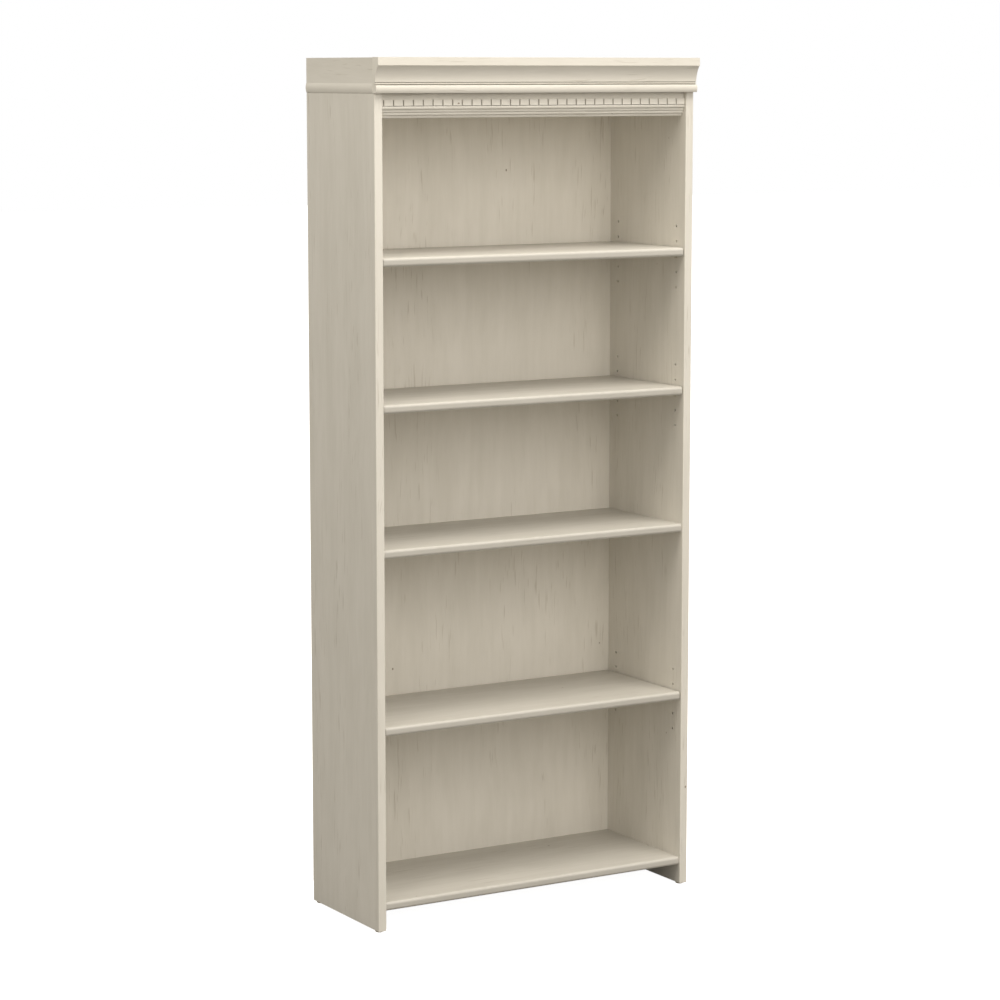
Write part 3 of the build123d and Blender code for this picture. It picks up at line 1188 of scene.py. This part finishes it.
class Finishes:
    """The finishes of the bookcase, with the laminate cut anew for every board."""

    next_cut = (0.37, 0.23, 0.91)       # from one board's place in the figure to the next

    def __init__(self) -> None:
        """Builds the finishes that several pieces share."""
        self.count = 0
        self.raw = Chipboard().build()
        self.hardboard = Hardboard().build()
        self.nylon = Nylon().build()
        self.zinc = Metal("bright_zinc", paint(206, 206, 202), paint(172, 172, 168),
                          smooth=0.26, rough=0.42).build()
        self.cast = Metal("cast_zinc", paint(176, 177, 180), paint(138, 139, 142),
                          smooth=0.36, rough=0.52).build()
        self.nickel = Metal("satin_nickel", paint(222, 216, 204), paint(196, 190, 178),
                            smooth=0.30, rough=0.44).build()
        self.steel = Metal("dull_steel", paint(150, 146, 140), paint(112, 106, 98),
                           smooth=0.38, rough=0.58).build()

    def laminate(self, piece: str, grain: Grain, wash: Wash = Wash.BOARD) -> bpy.types.Material:
        """Cuts laminate for one board from its own part of the figure.

        Args:
            piece: The board's name.
            grain: Which way its figure runs.
            wash: The piece's level of painted light and painted shade, a factor on the foil's colour.

        Returns:
            The board's material.
        """
        self.count += 1
        shift = tuple(part * self.count for part in self.next_cut)
        return Laminate(f"laminate_{piece}", grain, shift, wash).build()


# ---- Sub-assemblies ------------------------------------------------------------------

@dataclass
class SidePanel:
    """An upright side board with its rows of pin holes.

    Attributes:
        side: Which side it stands on.
        finishes: The bookcase's finishes.
        front_round: Radius along its front edges.
        front_flats: Flats across that rounding.
        soften: Radius along its other edges.
        hole_depth: Depth of a pin hole.
    """

    side: Side
    finishes: Finishes
    front_round: float = 2.0 * MM
    front_flats: int = 5
    soften: float = 0.35 * MM
    hole_depth: float = 9.5 * MM

    def build(self) -> None:
        """Builds and dresses the panel."""
        node = f"{self.side.word}_side_panel"
        shape = Shape()
        shape.block(*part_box(node))
        shape.ease(shape.front_edges(UP), self.front_round, self.front_flats)
        shape.ease(shape.arrises(), self.soften)
        shape.leave_raw(BACK, -UP)
        shape.band_front()
        holes = [Turning.hole(place, PACKED.pin_hole_radius(), self.hole_depth)
                 for place in PACKED.pin_holes(self.side)]
        shape.turn(shape.faces_towards(-self.side.outward)[0], holes)
        name = f"side_board_{self.side.word}"
        foil = self.finishes.laminate(name, Grain.UPRIGHT)
        # the front strip takes the foil painted lighter: a painted highlight on the front edge
        band = self.finishes.laminate(f"{name}_front", Grain.UPRIGHT, Wash.MOULDED)
        place_piece(name, shape, [foil, self.finishes.raw, band], node)


@dataclass
class Shelf:
    """A shelf with a rounded nose.

    Attributes:
        level: The shelf's place, as its node calls it.
        finishes: The bookcase's finishes.
        locks: The node of its cam locks, if it is fixed.
        nose_round: Radius along its upper and lower front edges.
        nose_flats: Flats across that rounding.
        soften: Radius along its other edges.
        pocket_gap: Clearance round a cam lock.
    """

    level: str
    finishes: Finishes
    locks: Optional[str] = None
    nose_round: float = 6.0 * MM
    nose_flats: int = 8
    soften: float = 0.35 * MM
    pocket_gap: float = 0.2 * MM

    @property
    def node(self) -> str:
        """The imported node's name."""
        return f"{self.level}_shelf" if self.locks else f"{self.level}_adjustable_shelf"

    def pockets(self) -> list[Turning]:
        """Sets out the pockets for the cam locks, in the underside.

        Returns:
            The pockets, none in a shelf without cam locks.
        """
        made = []
        for low, high in PACKED.solids(self.locks) if self.locks else []:
            mouth = Vector((*((low + high) / 2).xy, low.z))
            radius = (high.y - low.y) / 2 + self.pocket_gap
            made.append(Turning.hole(mouth, radius, high.z - low.z + self.pocket_gap))
        return made

    def build(self) -> None:
        """Builds and dresses the shelf."""
        shape = Shape()
        shape.block(*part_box(self.node))
        shape.ease(shape.front_edges(RIGHT), self.nose_round, self.nose_flats)
        shape.ease(shape.arrises(), self.soften)
        shape.leave_raw(BACK)
        if self.locks:
            shape.turn(shape.faces_towards(-UP)[0], self.pockets())
        name = f"shelf_board_{self.level}"
        # shelves take the foil painted darker: painted shade
        foil = self.finishes.laminate(name, Grain.LENGTHWISE, Wash.SHELF)
        place_piece(name, shape, [foil, self.finishes.raw], self.node)


@dataclass
class BackSheet:
    """The thin sheet nailed on the rear, printed in front and bare behind.

    Attributes:
        finishes: The bookcase's finishes.
        soften: Radius along its edges.
        head_gap: Clearance round a nail's head.
        head_depth: How deep that head sits.
        seat_lip: How far the edge of its seat is broken.
    """

    finishes: Finishes
    soften: float = 0.3 * MM
    head_gap: float = 0.1 * MM
    head_depth: float = 0.9 * MM
    seat_lip: float = 0.15 * MM

    def build(self) -> None:
        """Builds and dresses the sheet, with a seat for each nail head."""
        shape = Shape()
        shape.block(*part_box("back_panel"))
        shape.ease(shape.arrises(), self.soften)
        shape.leave_raw(BACK)
        seats = []
        for low, high in PACKED.solids("back_panel_nails"):
            middle = Vector(((low.x + high.x) / 2, high.y, (low.z + high.z) / 2))
            radius = (high.x - low.x) / 2 + self.head_gap
            seats.append(Turning.hole(middle, radius, self.head_depth, self.seat_lip))
        shape.turn(shape.faces_towards(BACK)[0], seats)
        # the back sheet takes the foil painted lighter: painted light inside the bays
        foil = self.finishes.laminate("back_sheet", Grain.UPRIGHT, Wash.SHEET)
        place_piece("back_sheet", shape, [foil, self.finishes.hardboard], "back_panel")


@dataclass
class Cornice:
    """The moulding across the front of the crown: fascia, cove, fillet and a rounded band.

    Attributes:
        finishes: The bookcase's finishes.
        fascia: Height of the flat at the top.
        lip: The fascia in front of the cove's upper edge.
        cove_foot: The cove's lower edge in front of the side panels.
        cove_sag: Depth of the cove below its chord.
        cove_flats: Flats across the cove.
        groove: The floor of both grooves in front of the side panels.
        fillet_out: The flat between the grooves in front of the side panels.
        upper_groove: Height of the groove above that flat.
        fillet: Height of that flat.
        lower_groove: Height of the groove below it.
        band: Height of the rounded band.
        band_top: The band's upper edge in front of the side panels.
        band_middle: The band's middle in front of the side panels.
        band_foot: The band's lower edge in front of the side panels.
        band_flats: Flats across the band.
        soften: Radius along the edges.
    """

    finishes: Finishes
    fascia: float = 16.3 * MM
    lip: float = 1.5 * MM
    cove_foot: float = 7.0 * MM
    cove_sag: float = 2.7 * MM
    cove_flats: int = 14
    groove: float = 4.5 * MM
    fillet_out: float = 8.0 * MM
    upper_groove: float = 1.8 * MM
    fillet: float = 2.0 * MM
    lower_groove: float = 2.4 * MM
    band: float = 15.4 * MM
    band_top: float = 10.6 * MM
    band_middle: float = 11.6 * MM
    band_foot: float = 9.2 * MM
    band_flats: int = 10
    soften: float = 0.3 * MM

    def build(self) -> None:
        """Builds and dresses the moulding."""
        low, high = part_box("crown_moulding")
        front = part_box("left_side_panel")[0].y

        def at(out: float, height: float) -> Vector:
            """A point of the section, out from the side panels' front and above its foot."""
            return Vector((low.x, front - out, low.z + height))

        top = high.z - low.z
        cove_top = top - self.fascia
        fillet_foot = self.band + self.lower_groove
        fillet_top = fillet_foot + self.fillet
        cove_base = fillet_top + self.upper_groove
        fascia_out = front - low.y
        cove_start, cove_end = at(fascia_out - self.lip, cove_top), at(self.cove_foot, cove_base)
        chord = (cove_end - cove_start).normalized()
        cove_middle = (cove_start + cove_end) / 2 + RIGHT.cross(chord) * self.cove_sag
        shape = Shape()
        outline = Outline(shape, Vector((low.x, high.y, high.z)))
        outline.line(at(fascia_out, top), at(fascia_out, cove_top), cove_start)
        outline.arc(cove_middle, cove_end, self.cove_flats)
        outline.line(at(self.groove, cove_base), at(self.groove, fillet_top),
                     at(self.fillet_out, fillet_top), at(self.fillet_out, fillet_foot),
                     at(self.groove, fillet_foot), at(self.groove, self.band),
                     at(self.band_top, self.band))
        outline.arc(at(self.band_middle, self.band / 2), at(self.band_foot, 0), self.band_flats)
        outline.line(Vector((low.x, high.y, low.z)))
        outline.push(RIGHT * (high.x - low.x))
        # the groove floors take the foil painted darker: painted shade in the grooves
        for face in shape.faces_towards(-BACK):
            if abs(face.calc_center_bounds().y - front + self.groove) < LEVEL:
                face.material_index = RECESS
        shape.ease(shape.arrises(), self.soften)
        # the moulding's foil is painted lighter: painted light
        foil = self.finishes.laminate("cornice", Grain.LENGTHWISE, Wash.MOULDED)
        groove_painted_shade = self.finishes.laminate("cornice_grooves", Grain.LENGTHWISE, Wash.RECESS)
        place_piece("cornice", shape, [foil, groove_painted_shade], "crown_moulding")


@dataclass
class CrownReturn:
    """The side of the crown: a board with a half-round band along its foot.

    Attributes:
        side: Which side it stands on.
        finishes: The bookcase's finishes.
        band: Height of the half-round band.
        band_flats: Flats across the band.
        soften: Radius along the edges.
    """

    side: Side
    finishes: Finishes
    band: float = 20.0 * MM
    band_flats: int = 10
    soften: float = 0.35 * MM

    def build(self) -> None:
        """Builds and dresses the return."""
        node = f"crown_{self.side.word}_return"
        low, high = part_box(node)
        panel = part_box(f"{self.side.word}_side_panel")
        way = self.side.value
        belly, inner = (high.x, low.x) if way > 0 else (low.x, high.x)
        face = inner + way * (panel[1].x - panel[0].x)

        def at(x: float, height: float) -> Vector:
            """A point of the section, at its front end."""
            return Vector((x, low.y, low.z + height))

        shape = Shape()
        outline = Outline(shape, at(face, 0))
        outline.arc(at(belly, self.band / 2), at(face, self.band), self.band_flats)
        outline.line(at(face, high.z - low.z), at(inner, high.z - low.z), at(inner, 0))
        outline.push(BACK * (high.y - low.y))
        shape.ease(shape.arrises(), self.soften)
        shape.leave_raw(BACK)
        name = f"crown_return_{self.side.word}"
        foil = self.finishes.laminate(name, Grain.FRONT_TO_BACK)
        place_piece(name, shape, [foil, self.finishes.raw], node)


@dataclass
class DentilRail:
    """The valance under the crown: a plain frieze, a row of dentils and four stepped reeds.

    Attributes:
        finishes: The bookcase's finishes.
        frieze: Height of the plain strip above the dentils.
        dentil: Height of the strip that holds the dentils.
        score: Height of the scored line under the dentils.
        frieze_back: The frieze behind the side panels' front edges.
        dentil_back: The dentils' faces behind the same edges.
        reeds_back: The reeds behind the same edges, from the top down.
        reed_bulge: A reed's middle in front of its edges.
        reed_flats: Flats across a reed.
        pitch: Dentil to dentil.
        space: Gap between two dentils.
        shortest: A narrower stub is left off.
        soften: Radius along the edges.
        low: The rail's lowest corner.
        high: The rail's highest corner.
        front: Where the side panels' front edges are.
    """

    finishes: Finishes
    frieze: float = 12.4 * MM
    dentil: float = 12.7 * MM
    score: float = 1.2 * MM
    frieze_back: float = 8.5 * MM
    dentil_back: float = 5.5 * MM
    reeds_back: tuple[float, ...] = (6.3 * MM, 9.4 * MM, 12.0 * MM, 15.8 * MM)
    reed_bulge: float = 0.9 * MM
    reed_flats: int = 6
    pitch: float = 22.16 * MM
    space: float = 2.8 * MM
    shortest: float = 1.0 * MM
    soften: float = 0.25 * MM
    low: Vector = field(default_factory=lambda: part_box("dentil_valance")[0])
    high: Vector = field(default_factory=lambda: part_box("dentil_valance")[1])
    front: float = field(default_factory=lambda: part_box("left_side_panel")[0].y)

    def build(self) -> None:
        """Builds and dresses the rail."""
        shape = Shape()
        self.draw(shape)
        self.raise_dentils(shape)
        shape.ease(self.rims(shape), self.soften)
        # the rail's foil painted lighter, the ground between the dentils darker and their faces lighter:
        # painted light, painted shade and a painted highlight
        foils = [self.finishes.laminate(f"dentil_rail_{wash.name.lower()}", Grain.LENGTHWISE, wash)
                 for wash in (Wash.MOULDED, Wash.RECESS, Wash.RAISED)]
        place_piece("dentil_rail", shape, foils, "dentil_valance")

    def draw(self, shape: Shape) -> None:
        """Draws the section and pushes it to a bar.

        Args:
            shape: The shape that it is drawn in.
        """
        def at(back: float, height: float) -> Vector:
            """A point of the section, behind the front edges and above the rail's foot."""
            return Vector((self.low.x, self.front + back, self.low.z + height))

        top = self.high.z - self.low.z
        reeds_top = top - self.frieze - self.dentil
        reed = reeds_top / len(self.reeds_back)
        outline = Outline(shape, at(self.frieze_back, top))
        outline.line(at(self.frieze_back, reeds_top))
        for index, back in enumerate(self.reeds_back):
            level = reeds_top - index * reed
            outline.line(at(back, level))
            belly = at(back - self.reed_bulge, level - reed / 2)
            outline.arc(belly, at(back, level - reed), self.reed_flats)
        rear = self.high.y - self.front
        outline.line(at(rear, 0), at(rear, top))
        outline.push(RIGHT * (self.high.x - self.low.x))

    def spans(self) -> list[tuple[float, float]]:
        """Sets out the dentils from the right end.

        Returns:
            The left and right edge of each.
        """
        made, right = [], self.high.x
        while right - self.shortest > self.low.x:
            made.append((max(right - self.pitch + self.space, self.low.x), right))
            right -= self.pitch
        return made

    def ground(self, shape: Shape, score: float) -> list[BMFace]:
        """Finds the flat ground at the height of the dentils.

        Args:
            shape: The rail.
            score: Height of the strip at its foot that is left out.

        Returns:
            Its faces.
        """
        ground_y = self.front + self.frieze_back
        top = self.high.z - self.frieze
        foot = top - self.dentil + score
        found = []
        for face in shape.faces_towards(-BACK):
            middle = face.calc_center_bounds()
            if abs(middle.y - ground_y) < LEVEL and foot < middle.z < top:
                found.append(face)
        return found

    @staticmethod
    def cut(shape: Shape, faces: list[BMFace], point: Vector, normal: Vector) -> None:
        """Cuts faces along a plane.

        Args:
            shape: The rail.
            faces: The faces to cut.
            point: A point of the plane.
            normal: The plane's normal.
        """
        edges = {edge for face in faces for edge in face.edges}
        verts = {vert for face in faces for vert in face.verts}
        bmesh.ops.bisect_plane(shape.bm, geom=[*verts, *edges, *faces], dist=MERGE,
                               plane_co=point, plane_no=normal)

    def raise_dentils(self, shape: Shape) -> None:
        """Marks out the dentils on the ground and raises them from it, with painted shade on the ground
        between them and a painted highlight on their faces.

        Args:
            shape: The rail.
        """
        top = self.high.z - self.frieze
        for level in (top, top - self.dentil + self.score):
            self.cut(shape, shape.faces_towards(-BACK), Vector((0, 0, level)), UP)
        spans = self.spans()
        for place in sorted({x for span in spans for x in span}):
            if self.low.x + self.soften < place < self.high.x - self.soften:
                self.cut(shape, self.ground(shape, self.score), Vector((place, 0, 0)), RIGHT)
        # the ground between the dentils is painted darker: painted shade
        for face in self.ground(shape, 0.0):
            face.material_index = RECESS
        raised = [face for face in self.ground(shape, self.score)
                  if any(left < face.calc_center_bounds().x < right for left, right in spans)]
        # the dentils' faces are painted lighter: a painted highlight
        for face in raised:
            face.material_index = RAISED
        shape.raise_faces(raised, -BACK * (self.frieze_back - self.dentil_back))

    def rims(self, shape: Shape) -> list[BMEdge]:
        """Finds the edges to round: those along the rail, and round each dentil's face.

        Args:
            shape: The rail.

        Returns:
            The edges.
        """
        found = []
        for edge in shape.arrises():
            first, last = (vert.co for vert in edge.verts)
            inside = self.low.x + self.soften < (first.x + last.x) / 2 < self.high.x - self.soften
            if inside and abs(first.y - last.y) < LEVEL:
                found.append(edge)
        return found


@dataclass
class SpoonPin:
    """A shelf pin: a shank in the panel, a flange on its face and a spoon under the shelf.

    Attributes:
        node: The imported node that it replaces.
        side: Which side panel it is plugged into.
        finishes: The bookcase's finishes.
        flange: Thickness of the flange.
        spoon: Thickness of the spoon.
        shank: Radius of the shank.
        neck: How much the shank is relieved where it leaves the flange.
        tip_break: How far the shank's end is broken.
        tip_round: Radius of the spoon's corners.
        tip_flats: Flats round a corner.
        shank_flats: Flats round the shank.
        soften: Radius along its other edges.
        seat_gap: Air between the spoon and the shelf that lies on it.
    """

    node: str
    side: Side
    finishes: Finishes
    flange: float = 1.6 * MM
    spoon: float = 2.4 * MM
    shank: float = 2.5 * MM
    neck: float = 0.4 * MM
    tip_break: float = 0.5 * MM
    tip_round: float = 3.0 * MM
    tip_flats: int = 6
    shank_flats: int = 24
    soften: float = 0.3 * MM
    seat_gap: float = 0.03 * MM

    def build(self) -> None:
        """Builds and dresses the pin."""
        low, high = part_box(self.node)
        top = high.z - self.seat_gap
        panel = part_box(f"{self.side.word}_side_panel")
        outward = self.side.outward
        seat = panel[0].x if self.side is Side.RIGHT else panel[1].x
        tip, end = (low.x, high.x) if self.side is Side.RIGHT else (high.x, low.x)
        inner = seat - outward.x * self.flange
        shape = Shape()
        shape.block(Vector((min(inner, seat), low.y, low.z)),
                    Vector((max(inner, seat), high.y, top)))
        face = shape.faces_towards(-outward)[0]
        bmesh.ops.bisect_plane(shape.bm, geom=[face, *face.edges, *face.verts], dist=MERGE,
                               plane_co=(0, 0, top - self.spoon), plane_no=UP)
        upper = max(shape.faces_towards(-outward), key=lambda made: made.calc_center_median().z)
        verts = shape.raise_faces([upper], RIGHT * (tip - inner))
        corners = [edge for edge in shape.edges_between(verts) if shape.runs(edge, UP)]
        shape.ease(corners, self.tip_round, self.tip_flats)
        shape.ease(shape.arrises(), self.soften)
        centre = Vector((seat, (low.y + high.y) / 2, top - self.shank))
        length = abs(end - seat)
        profile = ((self.shank - self.neck, 0.0), (self.shank, self.neck),
                   (self.shank, length - self.tip_break), (self.shank - self.tip_break, length))
        shank = Turning(centre, profile, self.shank_flats)
        shape.turn(shape.faces_towards(outward)[0], [shank])
        name = "spoon_pin_" + self.node.removesuffix("_pin")
        place_piece(name, shape, [self.finishes.nickel], self.node)


@dataclass
class FloorGlides:
    """The four round glides under the side panels.

    Attributes:
        finishes: The bookcase's finishes.
        rounding: Radius round a glide's foot.
        rounding_flats: Flats across that rounding.
        steps: Flats round a glide.
    """

    finishes: Finishes
    rounding: float = 2.4 * MM
    rounding_flats: int = 6
    steps: int = 40

    def build(self) -> None:
        """Builds and dresses the glides."""
        shape = Shape()
        panel_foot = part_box("left_side_panel")[0].z
        for low, high in PACKED.solids("floor_glides"):
            self.spin(shape, (low + high) / 2, (high.x - low.x) / 2, low.z, panel_foot)
        place_piece("glide_buttons", shape, [self.finishes.nylon], "floor_glides")

    def spin(self, shape: Shape, middle: Vector, radius: float, foot: float, top: float) -> None:
        """Spins one glide about its upright axis.

        Args:
            shape: The shape that it is added to.
            middle: A point on its axis.
            radius: Its radius.
            foot: The height of its foot.
            top: The height of its top.
        """
        def at(out: float, height: float) -> Vector:
            """A point of the profile, out from the axis."""
            return Vector((middle.x + out, middle.y, height))

        before = set(shape.bm.edges)
        outline = Outline(shape, at(0, top))
        outline.line(at(radius, top), at(radius, foot + self.rounding))
        flat = radius - self.rounding
        diagonal = self.rounding * math.sqrt(0.5)
        belly = at(flat + diagonal, foot + self.rounding - diagonal)
        outline.arc(belly, at(flat, foot), self.rounding_flats)
        outline.line(at(0, foot))
        profile = [edge for edge in shape.bm.edges if edge not in before]
        verts = list({vert for edge in profile for vert in edge.verts})
        bmesh.ops.spin(shape.bm, geom=verts + profile, cent=middle, axis=UP, dvec=(0, 0, 0),
                       angle=math.tau, steps=self.steps, use_merge=True, use_duplicate=False)


@dataclass
class Carried:
    """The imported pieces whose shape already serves: they only get their finish.

    Attributes:
        finishes: The bookcase's finishes.
        dowel_grain: Which way the grain runs in the dowels that don't lie lengthwise.
    """

    finishes: Finishes
    dowel_grain: dict[str, Grain] = field(default_factory=lambda: {
        "return_dowels": Grain.UPRIGHT, "valance_dowels": Grain.FRONT_TO_BACK})

    def dress(self) -> None:
        """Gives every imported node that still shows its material."""
        foils = {"top_panel", "crown_front_rail", "crown_rear_rail", "crown_cap"}
        metals = {"zinc_steel": self.finishes.zinc, "cam_zinc": self.finishes.cast,
                  "nail_steel": self.finishes.steel}
        beech = {grain: Beech(f"beech_{grain.name.lower()}", grain).build() for grain in Grain}
        for name, node in frame["nodes"].items():
            if node.hide_render:
                continue
            if name in foils:
                # the crown cap takes the shelves' darker level of painted shade; the other boards keep
                # the main boards' level
                wash = Wash.SHELF if name == "crown_cap" else Wash.BOARD
                material = self.finishes.laminate(name, Grain.LENGTHWISE, wash)
            elif name.endswith("dowels"):
                material = beech[self.dowel_grain.get(name, Grain.LENGTHWISE)]
            else:
                material = metals[PACKED.slot[name]]
            node.data.materials.clear()
            node.data.materials.append(material)
            LOG.info("%s keeps its packed shape, in %s", name, material.name)


# ---- Studio --------------------------------------------------------------------------

@dataclass(frozen=True)
class SoftLight:
    """A large square light.

    Attributes:
        name: Its name.
        place: Where it hangs.
        aim: Where it points.
        power: Its power, in watts.
        colour: Its colour.
        size: Its side.
    """

    name: str
    place: tuple[float, float, float]
    aim: tuple[float, float, float]
    power: float
    colour: Colour
    size: float = 2.4

    def hang(self) -> None:
        """Hangs the light."""
        data = bpy.data.lights.new(self.name, "AREA")
        data.shape = "SQUARE"
        data.size = self.size
        data.energy = self.power
        data.color = self.colour[:3]
        light = bpy.data.objects.new(self.name, data)
        light.location = self.place
        towards = Vector(self.aim) - Vector(self.place)
        light.rotation_euler = towards.to_track_quat("-Z", "Y").to_euler()
        bpy.context.scene.collection.objects.link(light)


DAYLIGHT = paint(255, 250, 241)
WARM = paint(255, 249, 235)
WHITE = paint(255, 255, 255)


@dataclass
class Studio:
    """A pale floor, a white surround and large soft lights, the strongest high in front.

    Attributes:
        lights: The soft lights.
        floor_size: Side of the square floor.
        fill: Light of the surround on the object.
        floor_colour: The floor as the camera sees it.
        floor_shade: The same floor where it is darkest.
        floor_bounce: The floor as the object sees it.
        floor_lift: Light added to the floor for the camera alone.
        cloud_scale: Clouds in a metre of floor.
        cloud_share: How strongly they show.
    """

    lights: tuple[SoftLight, ...] = (
        SoftLight("high_light", (0.5, -1.9, 5.2), (0.0, 0.0, 1.2), 152.0, DAYLIGHT),
        SoftLight("front_light", (0.2, -4.2, 2.8), (0.0, 0.0, 1.3), 40.0, DAYLIGHT),
        SoftLight("left_light", (-2.2, -0.8, 3.4), (-0.3, 0.0, 1.2), 30.0, WARM, 1.6),
    )
    floor_size: float = 60.0
    fill: float = 0.59
    floor_colour: Colour = paint(240, 239, 236)
    floor_shade: Colour = paint(225, 224, 221)
    floor_bounce: Colour = paint(140, 138, 134)
    floor_lift: float = 0.95
    cloud_scale: float = 1.5
    cloud_share: float = 0.05

    def build(self) -> None:
        """Builds the floor, the surround and the lights."""
        bpy.context.scene.view_settings.view_transform = "Standard"
        self.lay_floor()
        self.light_surround()
        for light in self.lights:
            light.hang()

    def lay_floor(self) -> None:
        """Lays the floor, lifted to near white for the camera alone."""
        bm = bmesh.new()
        bmesh.ops.create_grid(bm, x_segments=1, y_segments=1, size=self.floor_size / 2)
        mesh = bpy.data.meshes.new("studio_floor")
        bm.to_mesh(mesh)
        bm.free()
        floor = bpy.data.objects.new("studio_floor", mesh)
        bpy.context.scene.collection.objects.link(floor)
        material, graph = new_material("studio_floor")
        clouds = graph.noise(graph.own_coordinates(), self.cloud_scale)
        shade = graph.math("MULTIPLY", clouds, self.cloud_share)
        tone = graph.mix(shade, self.floor_colour, self.floor_shade)
        dim = graph.node("BsdfDiffuse", {"Color": self.floor_bounce}).outputs[0]
        matte = graph.node("BsdfDiffuse", {"Color": tone}).outputs[0]
        glow = graph.node("Emission", {"Color": WHITE, "Strength": self.floor_lift}).outputs[0]
        lifted = graph.node("AddShader", {0: matte, 1: glow}).outputs[0]
        seen = graph.node("LightPath").outputs["Is Camera Ray"]
        shown = graph.node("MixShader", {0: seen, 1: dim, 2: lifted}).outputs[0]
        graph.node("OutputMaterial", {"Surface": shown})
        mesh.materials.append(material)

    def light_surround(self) -> None:
        """Sets the surround: white to the camera, dimmer as a light."""
        world = bpy.data.worlds.new("surround")
        world.use_nodes = True
        world.node_tree.nodes.clear()
        graph = Graph(world.node_tree)
        seen = graph.node("LightPath").outputs["Is Camera Ray"]
        strength = graph.step(seen, 0, 1, self.fill, 1.0)
        colour = graph.mix(seen, DAYLIGHT, WHITE)
        light = graph.node("Background", {"Color": colour, "Strength": strength})
        graph.node("OutputWorld", {"Surface": light.outputs[0]})
        bpy.context.scene.world = world


@dataclass
class Viewpoint:
    """The camera: eye height, looking a little down on the left front corner.

    Attributes:
        turn: Degrees that it looks to the right of straight back.
        tilt: Degrees that it looks down.
        distance: Its distance from the point that it aims at.
        aim: That point, from the middle of the bookcase.
        lens: Focal length in millimetres.
        sensor: Width of the sensor in millimetres.
    """

    turn: float = 30.867
    tilt: float = 7.992
    distance: float = 6.3435
    aim: Vector = field(default_factory=lambda: Vector((-0.010, 0.001, -0.034)))
    lens: float = 109.96
    sensor: float = 36.0

    def set_up(self) -> None:
        """Puts the camera in place."""
        turn, tilt = math.radians(self.turn), math.radians(self.tilt)
        level = Vector((math.sin(turn), math.cos(turn), 0.0))
        forward = level * math.cos(tilt) - UP * math.sin(tilt)
        data = bpy.data.cameras.new("viewpoint")
        data.lens = self.lens
        data.sensor_width = self.sensor
        camera = bpy.data.objects.new("viewpoint", data)
        camera.location = (CAD_BOX[0] + CAD_BOX[1]) / 2 + self.aim - forward * self.distance
        camera.rotation_euler = (math.pi / 2 - tilt, 0.0, -turn)
        bpy.context.scene.collection.objects.link(camera)
        bpy.context.scene.camera = camera


def main() -> None:
    """Builds the bookcase, then the studio and the camera."""
    logging.basicConfig(level=logging.INFO, format="%(message)s")
    finishes = Finishes()
    for side in Side:
        SidePanel(side, finishes).build()
        CrownReturn(side, finishes).build()
    for level in ("bottom", "middle"):
        Shelf(level, finishes, f"{level}_cam_locks").build()
    for level in ("lower", "second", "upper"):
        Shelf(level, finishes).build()
        for side in Side:
            for column in ("front", "rear"):
                SpoonPin(f"{level}_{side.word}_{column}_pin", side, finishes).build()
    BackSheet(finishes).build()
    Cornice(finishes).build()
    DentilRail(finishes).build()
    FloorGlides(finishes).build()
    Carried(finishes).dress()
    Studio().build()
    Viewpoint().set_up()


if __name__ == "__main__":
    main()
